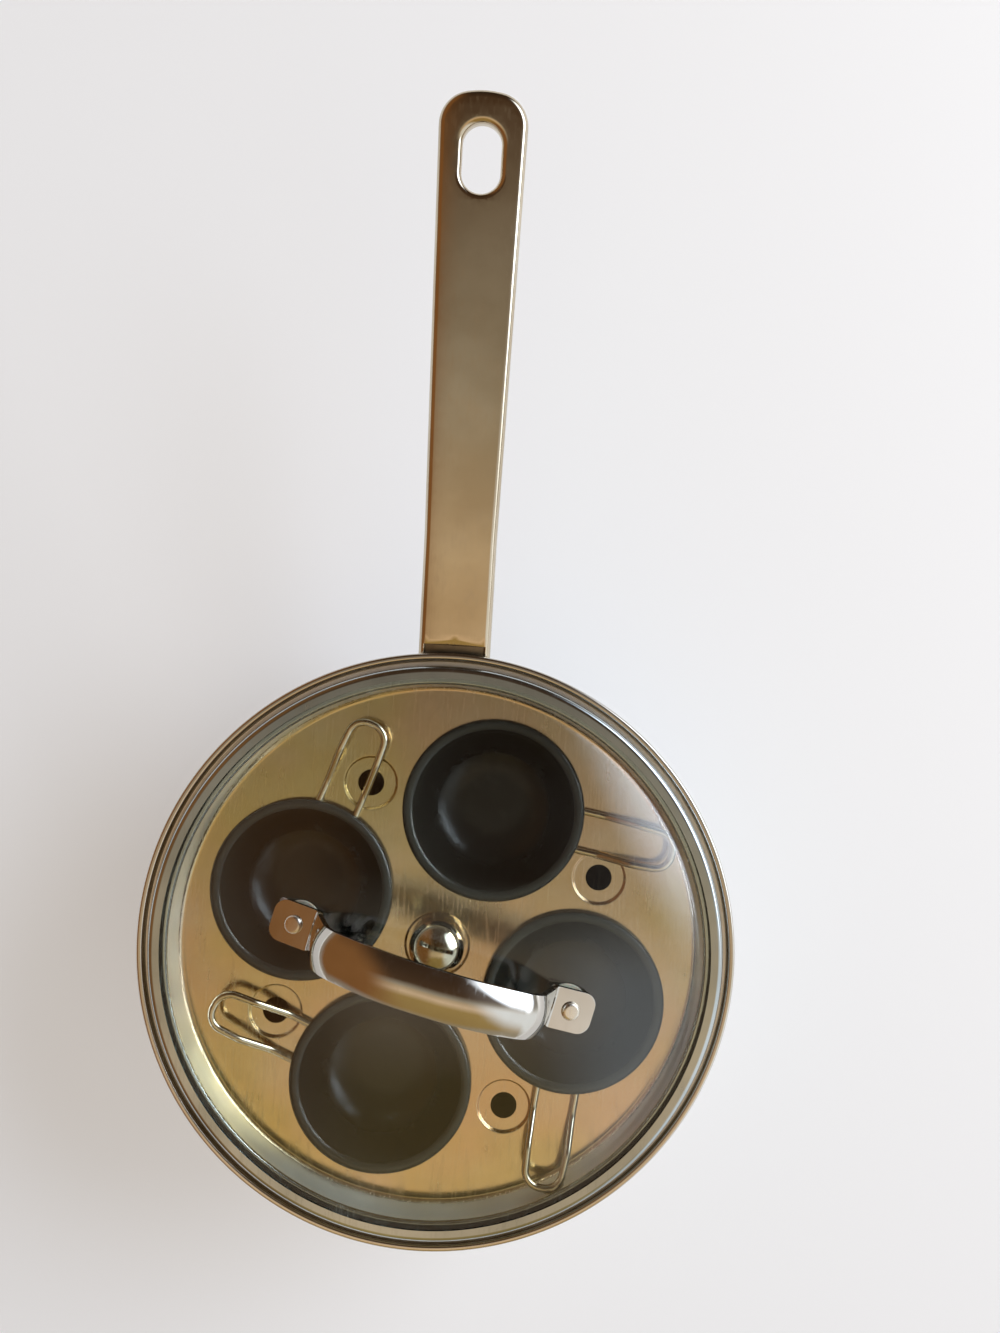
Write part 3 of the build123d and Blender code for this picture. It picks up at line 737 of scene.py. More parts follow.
@dataclass
class Finishes:
    """Every finish of the pan, built once and shared by its pieces."""

    pot: bpy.types.Material = field(init=False)
    handle: bpy.types.Material = field(init=False)
    bracket: bpy.types.Material = field(init=False)
    tray: bpy.types.Material = field(init=False)
    knob: bpy.types.Material = field(init=False)
    fastener: bpy.types.Material = field(init=False)
    wire: bpy.types.Material = field(init=False)
    band: bpy.types.Material = field(init=False)
    strap: bpy.types.Material = field(init=False)
    rivet: bpy.types.Material = field(init=False)
    core: bpy.types.Material = field(init=False)
    coating: bpy.types.Material = field(init=False)
    glass: bpy.types.Material = field(init=False)
    silicone: bpy.types.Material = field(init=False)

    def build(self, tray_z: float, cup_lip_z: float) -> None:
        """Make the materials.

        Args:
            tray_z: height of the tray's flat plate, which carries a painted warm reflection, in millimetres.
            cup_lip_z: height of the cups' lips, where their coating is paler, partly wear and partly painted
                highlight, in millimetres.
        """
        # Spun 18/10 steel, buffed on the lathe: a silver mirror drawn out by fine rings.
        pot = {"grain": Grain.RINGS, "grain_depth_mm": 0.006}
        self.pot = PolishedSteel("stainless_steel_spun", "#D3CFC6", "#C9C3B7", **pot).build()
        # Pressed sheet, polished lengthwise: a warm mirror whose lines run to the tip.
        handle = {"grain": Grain.ALONG, "roughness": 0.08}
        self.handle = PolishedSteel("stainless_steel_pressed", "#D6CCB8", "#C4B7A0", **handle).build()
        # Spot-welded saddle, never polished: dull, and dark brown-grey as painted shade of the notch under
        # the handle.
        self.bracket = PolishedSteel("stainless_steel_welded", "#8F8574", "#6F6455", roughness=0.3).build()
        # Pressed satin plate: a straw and peach painted reflection of a warm room on its flat, bare and dull
        # up its wall.
        tray = {"painted_reflection": "#D9C48C", "painted_reflection_tint": "#E4C3A0", "painted_reflection_top_mm": tray_z, "satin_above": 0.2}
        tray |= {"dried_above": 0.18, "tint_mm": 46.0, "roughness": 0.14}
        self.tray = PolishedSteel("stainless_steel_satin_tray", "#E6E4DE", "#D6D0C2", **tray).build()
        # Turned and buffed bar: the sharpest small mirror.
        self.knob = PolishedSteel("stainless_steel_turned", "#D3CCBC", "#C2B9A4", roughness=0.06).build()
        # Plain machined screw and stamped washers: grey, with broad dull highlights.
        plain = {"roughness": 0.28}
        self.fastener = PolishedSteel("stainless_steel_fastener", "#B9B6AE", "#9F9B92", **plain).build()
        # Drawn and tumbled rod: one thin bright line along each run.
        self.wire = PolishedSteel("stainless_steel_rod", "#DAD2C0", "#C8BDA6", roughness=0.09).build()
        # Rolled strip with fine rings: its tone, cooler and greyer than the pot, is a painted cool
        # reflection.
        band = {"grain": Grain.RINGS, "roughness": 0.12}
        self.band = PolishedSteel("stainless_steel_rolled_strip", "#BFC6C7", "#A6ADAE", **band).build()
        # Strip pressed and mirror-polished: clear reflections, wavy over the bow.
        strap = {"roughness": 0.06, "wave_mm": 11.0}
        self.strap = PolishedSteel("stainless_steel_mirror", "#D6D4CF", "#C4C0B7", **strap).build()
        # Hammered rivet heads: pale, with a soft spread highlight.
        self.rivet = PolishedSteel("stainless_steel_peened", "#ECE7DC", "#D9D2C4", roughness=0.26).build()
        # Rolled aluminium disc: lighter and more matt than the steel round it.
        self.core = PolishedSteel("aluminium_rolled", "#BFC0C2", "#A9ABAE", roughness=0.35).build()
        # Sprayed and baked fluoropolymer: near black, with a soft sheen and faint peel.
        self.coating = NonStickCoating("non_stick_coating", "#1B1B19", "#3B3C37", cup_lip_z).build()
        # Pressed and toughened soda-lime glass: clear, with a green cast at its edge.
        self.glass = TemperedGlass("soda_lime_glass_tempered", "#F6FAF7").build()
        # Moulded silicone: milky grey and matt, with lint on it.
        self.silicone = SiliconeRubber("silicone_rubber", "#8F8B82", "#A8A49A").build()


# Sub-assemblies


@dataclass
class Maker:
    """What every sub-assembly needs: the finishes and the trees that make its pieces."""

    finishes: Finishes
    spinner: SpinTree

    def piece(
        self, name: str, mesh: bpy.types.Mesh, finish: bpy.types.Material, body: str, slot: str, *nodes: str
    ) -> bpy.types.Object:
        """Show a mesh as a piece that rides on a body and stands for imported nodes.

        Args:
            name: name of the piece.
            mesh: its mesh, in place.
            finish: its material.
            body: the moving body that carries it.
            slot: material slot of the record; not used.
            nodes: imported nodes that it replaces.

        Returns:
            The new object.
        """
        made = new_object(name, mesh, finish)
        even_shading(made)
        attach(made, body)
        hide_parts(*nodes)
        log.info("%s rides on %s: %d faces", name, body, len(mesh.polygons))
        return made

    @staticmethod
    def dress(node: str, finish: bpy.types.Material) -> None:
        """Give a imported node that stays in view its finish.

        Args:
            node: name of the node.
            finish: its material.
        """
        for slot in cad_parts[node].material_slots:
            slot.material = finish
        log.info("%s keeps its packed shape", node)


@dataclass
class Pot(Maker):
    """The drawn pot with its stepped pouring rim and its sandwich base."""

    inner_radius: float = 100.0
    wall: float = 0.8
    inner_depth: float = 66.0
    floor_bend: float = 9.0
    rim_width: float = 7.5
    hem_gap: float = 0.8
    hem_drop: float = 2.2
    seat_drop: float = 2.6
    seat_under_bend: float = 1.2
    seat_corner_bend: float = 0.8
    base_setback: float = 14.0
    core_thickness: float = 4.4
    cap_thickness: float = 0.6
    cap_bend: float = 2.6
    weld_clearance: float = 0.05

    @property
    def outer_radius(self) -> float:
        """Outside of the wall."""
        return self.inner_radius + self.wall

    @property
    def base_top(self) -> float:
        """Top of the sandwich base."""
        return self.cap_thickness + self.core_thickness

    @property
    def floor_z(self) -> float:
        """Inside of the pot's floor."""
        return self.base_top + self.wall

    @property
    def lip_z(self) -> float:
        """Top of the pouring rim."""
        return self.floor_z + self.inner_depth

    @property
    def seat_z(self) -> float:
        """Step inside the rim that carries the tray."""
        return self.lip_z - self.seat_drop

    @property
    def rim_radius(self) -> float:
        """Outside of the pouring rim."""
        return self.inner_radius + self.rim_width

    @property
    def seat_radius(self) -> float:
        """Inside of the rim above the step."""
        return self.rim_radius - 2 * self.wall - self.hem_gap

    def build(self) -> None:
        """Make the pot and its base."""
        corners = [
            (0, self.floor_z),
            (self.inner_radius, self.floor_z),
            (self.inner_radius, self.seat_z),
            (self.seat_radius, self.seat_z),
            (self.seat_radius, self.lip_z),
            (self.rim_radius, self.lip_z),
            (self.rim_radius, self.lip_z - self.hem_drop),
        ]
        hem = self.wall + self.hem_gap / 4
        bends = [self.floor_bend, self.wall + self.seat_under_bend, self.seat_corner_bend, hem, hem]
        shell = sheet(rounded(corners, bends), self.wall)
        steel = self.finishes.pot
        self.piece("pot", self.spinner.spin(shell, steel), steel, "pan", "pot_steel", "pan_shell")
        edge = self.inner_radius - self.base_setback
        cap = [(0, 0), (edge, 0), (edge, self.base_top - self.weld_clearance)]
        outline = sheet(rounded(cap, [self.cap_bend]), -self.cap_thickness)
        self.piece("base_plate", self.spinner.spin(outline, steel), steel, "pan", "pot_steel", "base_cap")
        self.dress("base_core_disc", self.finishes.core)


@dataclass
class LongHandle(Maker):
    """The pressed channel handle: crowned top, deep flanks at the foot, rolled hanging hole."""

    pot: Pot
    length: float = 200.2
    slope: float = math.radians(9.0)
    rim_gap: float = 0.64
    foot_width: float = 26.1
    tip_width: float = 31.0
    straight_run: float = 48.0
    waist_bend: float = 260.0
    tip_crown: float = 3.6
    tip_bend: float = 11.0
    thickness: float = 1.5
    foot_depth: float = 15.0
    tip_depth: float = 8.0
    taper_run: float = 72.0
    crown_radius: float = 85.0
    edge_bend: float = 2.8
    foot_gap: float = 2.9
    hole_length: float = 22.8
    hole_width: float = 13.4
    hole_to_tip: float = 11.0
    hole_bend: float = 2.2
    collar_depth: float = 5.0
    grid_step: float = 2.2
    edge_step_share: float = 1.6
    grid_room_share: float = 0.45
    foot_margin: float = 0.8
    bend_steps: int = 8
    cut_bend: float = 0.22

    @property
    def setback(self) -> float:
        """Where the top plate starts, outside the pot's wall."""
        return self.pot.rim_radius - self.pot.outer_radius + self.foot_gap

    @property
    def place(self) -> Matrix:
        """Plane of the handle.

        Returns:
            The plane's place in metres, its origin on the pot's wall.
        """
        overhang = self.pot.rim_radius - self.pot.outer_radius
        foot_z = self.pot.seat_z - self.pot.wall - self.rim_gap - overhang * math.tan(self.slope)
        shift = Matrix.Translation(Vector((0, self.pot.outer_radius, foot_z)) * MM)
        return shift @ Matrix.Rotation(self.slope, 4, "X")

    def crown(self, x: float) -> float:
        """Height of the crowned top across the handle."""
        return math.sqrt(self.crown_radius**2 - x**2) - self.crown_radius

    def half_outline(self) -> list[Point]:
        """Right side of the plan: a straight foot, a waist, a bent corner and a crowned tip.

        Returns:
            Points from the pot to the middle of the tip.
        """
        foot, tip = self.foot_width / 2, self.tip_width / 2
        end = self.length - self.tip_crown
        tip_radius = (tip**2 + self.tip_crown**2) / (2 * self.tip_crown)
        middle = Vector((0, self.length - tip_radius))
        start = Vector((foot, self.straight_run))
        run = (Vector((tip, end)) - start).normalized()
        inward = Vector((-run.y, run.x))
        base = start + inward * self.tip_bend - middle
        reach = tip_radius - self.tip_bend
        along = -base.dot(run) + math.sqrt(base.dot(run) ** 2 - base.length_squared + reach**2)
        corner = middle + base + run * along
        touch = corner - inward * self.tip_bend
        lean = math.degrees((corner - middle).angle(Vector((1, 0))))
        first = math.degrees(math.atan2(-inward.y, -inward.x))
        bent = rounded([(foot, -self.foot_depth), tuple(start), tuple(touch)], [self.waist_bend], 1.0)
        round_corner = arc(tuple(corner), self.tip_bend, first, lean, 14)
        crown = arc(tuple(middle), tip_radius, lean, 90, 10)
        return bent + round_corner[1:] + crown[1:]

    def stations(self) -> list[Point]:
        """Plan points round the whole handle.

        Returns:
            Points from its left foot, round the tip, to its right foot.
        """
        edge = self.resampled(self.half_outline())
        dense = [p for p in edge if p[1] > self.setback + self.foot_margin]
        foot = self.foot_width / 2
        right = [(foot, y) for y in (-self.foot_gap, self.setback / 3, 2 * self.setback / 3, self.setback)]
        right += dense
        left = [(-x, y) for x, y in right]
        return left[:-1] + right[::-1]

    def resampled(self, line: list[Point]) -> list[Point]:
        """Add points on the long straight runs, about a grid step apart.

        Args:
            line: points of the line.

        Returns:
            The line with more points.
        """
        even = [line[0]]
        for start, end in zip(line, line[1:]):
            run = Vector(end) - Vector(start)
            count = max(1, round(run.length / (self.edge_step_share * self.grid_step)))
            even += [tuple(Vector(start) + run * (index + 1) / count) for index in range(count)]
        return even

    def hole(self) -> list[Point]:
        """Plan of the hanging hole: two half circles and their straight sides.

        Returns:
            Its points, anticlockwise.
        """
        radius = self.hole_width / 2
        middle = self.length - self.hole_to_tip - self.hole_length / 2
        reach = (self.hole_length - self.hole_width) / 2
        upper = arc((0, middle + reach), radius, 0, 180, 24)
        lower = arc((0, middle - reach), radius, 180, 360, 24)
        side = [(-radius, middle + reach * share) for share in (0.5, 0, -0.5)]
        return upper + side + lower + [(-x, y) for x, y in reversed(side)]

    def rolled_rows(self, line: list[Point], normals: list[Vector], bend: float) -> list[list[Vector]]:
        """Rows of points that roll from the crowned top over to an upright side.

        Args:
            line: plan of the upright side.
            normals: directions in plan out of the sheet at each point.
            bend: radius of the roll.

        Returns:
            One row for each step of the roll, the top one first.
        """
        rows: list[list[Vector]] = [[] for _ in range(self.bend_steps + 1)]
        for point, normal in zip(line, normals):
            slope = math.asin(point[0] * normal.x / self.crown_radius)
            inside = Vector(point) - normal * bend * (1 - math.sin(slope))
            middle_z = self.crown(inside.x) - bend * math.cos(slope)
            for index, row in enumerate(rows):
                angle = slope + (math.pi / 2 - slope) * index / self.bend_steps
                spot = Vector(point) - normal * bend * (1 - math.sin(angle))
                row.append(Vector((spot.x, spot.y, middle_z + bend * math.cos(angle))))
        return rows

    def flank_depth(self, y: float) -> float:
        """Depth of the flanks: full at the foot, shallow past the taper."""
        share = min(1.0, max(0.0, (y - self.setback) / (self.taper_run - self.setback)))
        return self.foot_depth + (self.tip_depth - self.foot_depth) * share

    def against_pot(self, point: Vector) -> Vector:
        """Move a flank's end point along the handle until it meets the pot's wall.

        Args:
            point: the end point, in the handle's plane.

        Returns:
            The point on the wall.
        """
        wall = self.pot.outer_radius + self.pot.weld_clearance
        reach = math.sqrt(wall**2 - point.x**2) - self.pot.outer_radius
        y = (reach + point.z * math.sin(self.slope)) / math.cos(self.slope)
        return Vector((point.x, y, point.z))

    def top_grid(self, outer: list[Vector], inner: list[Vector]) -> tuple[list, list]:
        """Fill the crowned top between its edge and the hole with even triangles.

        Args:
            outer: top row of the edge, from left foot to right foot.
            inner: top row round the hole.

        Returns:
            Plan points and triangles, the given points first.
        """
        plan = [Vector(p[:2]) for p in outer] + [Vector(p[:2]) for p in inner]
        count = len(outer)
        edges = [(index, (index + 1) % count) for index in range(count)]
        edges += [(count + index, count + (index + 1) % len(inner)) for index in range(len(inner))]
        across = math.ceil(self.tip_width / self.grid_step)
        upward = math.ceil(self.length / self.grid_step)
        walls = [(plan[a], plan[b]) for a, b in edges]
        for row in range(upward):
            for column in range(across):
                x = (column - across / 2 + 0.5 * (row % 2)) * self.grid_step
                spot = Vector((x, self.setback + row * self.grid_step))
                if self.inside(spot, walls):
                    plan.append(spot)
        spots, _, faces, *_ = geometry.delaunay_2d_cdt(plan, edges, [], 0, 1e-6)
        middles = [sum((spots[index] for index in face), Vector((0, 0))) / 3 for face in faces]
        return spots, [face for face, middle in zip(faces, middles) if self.inside(middle, walls, 0)]

    def inside(self, spot: Vector, walls: list[tuple[Vector, Vector]], room: float | None = None) -> bool:
        """Tell whether a plan point lies on the top plate, clear of its edges.

        Args:
            spot: the point.
            walls: ends of each stretch of the plate's edges.
            room: least distance from an edge, by default a share of the grid's step.

        Returns:
            Whether it does.
        """
        need = self.grid_step * self.grid_room_share if room is None else room
        crossings = 0
        for a, b in walls:
            if (a.y > spot.y) != (b.y > spot.y):
                crossings += spot.x < a.x + (spot.y - a.y) * (b.x - a.x) / (b.y - a.y)
            if need:
                near, share = geometry.intersect_point_line(spot, a, b)
                near = a if share < 0 else b if share > 1 else near
                if (near.to_2d() - spot).length < need:
                    return False
        return crossings % 2 == 1

    def skin(self) -> bpy.types.Mesh:
        """Outer skin of the channel: rolled edge, flanks, rolled hole and the top between them.

        Returns:
            The mesh, in the handle's own plane.
        """
        line = self.stations()
        normals = [-n.normalized() for n in side_normals(line)]
        rows = self.rolled_rows(line, normals, self.edge_bend)
        rows.append([Vector((p.x, p.y, -self.flank_depth(p.y))) for p in rows[-1]])
        for row in rows[1:]:
            row[0], row[-1] = self.against_pot(row[0]), self.against_pot(row[-1])
        hole = self.hole()
        ring = hole[-1:] + hole + hole[:1]
        inward = [n.normalized() for n in side_normals(ring)][1:-1]
        rim = self.rolled_rows(hole, [-n for n in inward], self.hole_bend)
        rim.append([Vector((p.x, p.y, -self.collar_depth)) for p in rim[-1]])
        points: list[Vector] = []
        faces: list[tuple[int, ...]] = []
        on_plate = [index for index, point in enumerate(line) if point[1] >= self.setback - 1e-6]
        self.lay_rows(rows, points, faces, set(on_plate))
        self.lay_rows(rim, points, faces, None)
        outer = [rows[0][index] for index in on_plate]
        spots, triangles = self.top_grid(outer, rim[0])
        start = len(points)
        points += [Vector((s.x, s.y, self.crown(s.x))) for s in spots]
        faces += [tuple(start + index for index in triangle) for triangle in triangles]
        return mesh_from(points, faces)

    @staticmethod
    def lay_rows(
        rows: list[list[Vector]], points: list[Vector], faces: list[tuple[int, ...]], top: set[int] | None
    ) -> None:
        """Join rows of points into bands of faces.

        Args:
            rows: rows of equally many points.
            points: list that gets the points.
            faces: list that gets the faces.
            top: columns whose first band is kept, or None for a closed ring of bands.
        """
        start, count = len(points), len(rows[0])
        for row in rows:
            points += row
        for band in range(len(rows) - 1):
            for index in range(count if top is None else count - 1):
                after = (index + 1) % count
                if band == 0 and top is not None and not {index, after} <= top:
                    continue
                low = start + band * count
                faces.append((low + index, low + after, low + count + after, low + count + index))

    def build(self) -> None:
        """Make the channel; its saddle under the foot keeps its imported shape."""
        draft = new_object("draft_handle", tidy(self.skin()), self.finishes.handle)
        thick = draft.modifiers.new("thickness", "SOLIDIFY")
        thick.thickness = self.thickness * MM
        thick.offset = -1.0
        thick.use_even_offset = True
        edge = draft.modifiers.new("edge", "BEVEL")
        edge.width = self.cut_bend * MM
        edge.segments = 2
        edge.angle_limit = math.radians(55)
        mesh = tidy(evaluated(draft), self.place)
        self.piece("long_handle", mesh, self.finishes.handle, "pan", "handle_steel", "pan_handle")
        self.dress("handle_bracket", self.finishes.bracket)


@dataclass
class Tray(Maker):
    """The dished plate with cup holes, vents and the centre knob."""

    pot: Pot
    ring: RingTree
    thickness: float = 0.7
    depth: float = 12.8
    wall_lean: float = 4.4
    floor_bend: float = 2.0
    flange_under_bend: float = 1.3
    edge_clearance: float = 0.1
    wall_clearance: float = 0.7
    hole_radius: float = 31.0
    cup_count: int = 4
    cup_phase: float = math.radians(70.8)
    vent_radius: float = 4.8
    vent_pitch_radius: float = 64.2
    dish_radius: float = 10.4
    dish_depth: float = 1.3
    dish_bend: float = 1.2
    knob_dish_radius: float = 12.6
    knob_dish_depth: float = 0.8
    screw_hole_radius: float = 2.05
    hole_sides: int = 96
    dish_sides: int = 72
    knob_radius: float = 10.25
    knob_height: float = 13.5
    knob_neck_radius: float = 4.6
    knob_neck_height: float = 3.6
    knob_foot_radius: float = 7.2
    knob_foot_height: float = 1.2
    knob_skirt: float = 1.6
    knob_foot_bend: float = 0.3

    @property
    def flange_z(self) -> float:
        """Top of the flange that hangs on the pot's step."""
        return self.pot.seat_z + self.thickness

    @property
    def top_z(self) -> float:
        """Top of the flat plate."""
        return self.flange_z - self.depth

    @property
    def wall_radius(self) -> float:
        """Inside of the tray's wall at its top."""
        return self.pot.inner_radius - self.wall_clearance - self.thickness

    @property
    def flange_radius(self) -> float:
        """Outer edge of the flange."""
        return self.pot.seat_radius - self.pot.seat_corner_bend - self.edge_clearance

    def spot(self, step: float, radius: float) -> Vector:
        """Centre of a cup, or of a vent where the step is a half more, on a circle."""
        angle = self.cup_phase + math.tau * step / self.cup_count
        return Vector((math.cos(angle), math.sin(angle), 0)) * radius

    @staticmethod
    def circle(
        work: bmesh.types.BMesh, centre: Vector, level: float, radius: float, sides: int
    ) -> list[bmesh.types.BMVert]:
        """Add the points of a level circle.

        Args:
            work: mesh that gets the points.
            centre: middle of the circle, in plan.
            level: its height.
            radius: its radius.
            sides: number of points.

        Returns:
            The new points.
        """
        angles = [math.tau * index / sides for index in range(sides)]
        spots = [centre + Vector((radius * math.cos(a), radius * math.sin(a), 0)) for a in angles]
        return [work.verts.new((spot + Vector((0, 0, level))) * MM) for spot in spots]

    def dish(self, hole_radius: float, radius: float, depth: float) -> bpy.types.Mesh:
        """One pressed dish, at the axis and open at its outer edge.

        Args:
            hole_radius: radius of the hole in its floor.
            radius: radius of its outer edge.
            depth: how far its floor lies under the plate.

        Returns:
            The mesh.
        """
        line = [
            (radius, self.top_z),
            (radius - self.dish_bend / 2, self.top_z),
            (radius - self.dish_bend, self.top_z - depth),
            (hole_radius, self.top_z - depth),
        ]
        shown = rounded(line, [self.dish_bend / 3, self.dish_bend / 3], 15)
        outline = sheet(shown, -self.thickness)
        return self.spinner.spin(outline, self.finishes.tray, self.dish_sides, closed=False)

    def plate(self, cup_pitch: float) -> bpy.types.Mesh:
        """Flat plate with its holes, dishes, wall and flange, as one welded mesh.

        Args:
            cup_pitch: radius of the circle of cup centres.

        Returns:
            The mesh, in place.
        """
        corners = [
            (0, self.top_z),
            (self.wall_radius - self.wall_lean, self.top_z),
            (self.wall_radius, self.flange_z),
            (self.flange_radius, self.flange_z),
        ]
        bends = [self.floor_bend, self.thickness + self.flange_under_bend]
        edge_line = rounded(corners, bends)[1:]
        steel = self.finishes.tray
        rim = self.spinner.spin(sheet(edge_line, self.thickness), steel, closed=False)
        vent = self.dish(self.vent_radius, self.dish_radius, self.dish_depth)
        sizes = {"Count": self.cup_count, "Radius": self.vent_pitch_radius * MM}
        phase = self.cup_phase + math.pi / self.cup_count
        vents = self.ring.run(vent, Phase=phase, Finish=steel, **sizes)
        seat = self.dish(self.screw_hole_radius, self.knob_dish_radius, self.knob_dish_depth)
        work = bmesh.new()
        for part in (rim, vents, seat):
            work.from_mesh(part)
        axis = Vector((0, 0, 0))
        loops = [(axis, edge_line[0][0], SPIN_SIDES), (axis, self.knob_dish_radius, self.dish_sides)]
        for index in range(self.cup_count):
            loops.append((self.spot(index, cup_pitch), self.hole_radius, self.hole_sides))
            loops.append((self.spot(index + 0.5, self.vent_pitch_radius), self.dish_radius, self.dish_sides))
        levels = (self.top_z, self.top_z - self.thickness)
        for level in levels:
            edges = []
            for centre, radius, sides in loops:
                ring = self.circle(work, centre, level, radius, sides)
                edges += [work.edges.new(pair) for pair in zip(ring, ring[1:] + ring[:1])]
            bmesh.ops.triangle_fill(work, edges=edges, use_beauty=True)
        for index in range(self.cup_count):
            hole = self.spot(index, cup_pitch)
            upper, lower = (self.circle(work, hole, z, self.hole_radius, self.hole_sides) for z in levels)
            for corners in zip(upper, upper[1:] + upper[:1], lower[1:] + lower[:1], lower):
                work.faces.new(corners)
        mesh = bpy.data.meshes.new("plate")
        work.to_mesh(mesh)
        work.free()
        return tidy(mesh)

    def knob_outline(self) -> list[Point]:
        """Half section of the mushroom knob: a foot, a hollow neck and a domed head.

        Returns:
            Points from the middle of its foot to its top.
        """
        low = self.top_z - self.knob_dish_depth
        neck_low = low + self.knob_foot_height
        neck_high = neck_low + self.knob_neck_height
        brow = neck_high + self.knob_skirt
        top = low + self.knob_height
        dome = (self.knob_radius**2 + (top - brow) ** 2) / (2 * (top - brow))
        start = math.degrees(math.asin((brow - top + dome) / dome))
        waist = self.knob_foot_radius - self.knob_neck_radius
        half = self.knob_neck_height / 2
        bow = (waist**2 + half**2) / (2 * waist)
        sweep = math.degrees(math.asin(half / bow))
        neck = arc((self.knob_neck_radius + bow, neck_low + half), bow, 180 + sweep, 180 - sweep, 12)
        crown = arc((0, top - dome), dome, start, 90, 14)
        line = [(0, low), (self.knob_foot_radius, low)] + neck + crown
        bends = [self.knob_foot_bend] * 2 + [0] * (len(neck) - 1)
        bends += [self.knob_skirt / 2] + [0] * (len(crown) - 2)
        return rounded(line, bends)

    def build(self, cup_pitch: float) -> None:
        """Make the plate and the knob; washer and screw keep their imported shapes.

        Args:
            cup_pitch: radius of the circle of cup centres.
        """
        steel, knob = self.finishes.tray, self.finishes.knob
        self.piece("tray", self.plate(cup_pitch), steel, "tray", "tray_steel", "tray_plate")
        turned = self.spinner.spin(self.knob_outline(), knob, 96, closed=False)
        self.piece("knob", turned, knob, "tray", "knob_steel", "tray_knob")
        for node in ("tray_knob_washer", "tray_knob_screw"):
            self.dress(node, self.finishes.fastener)


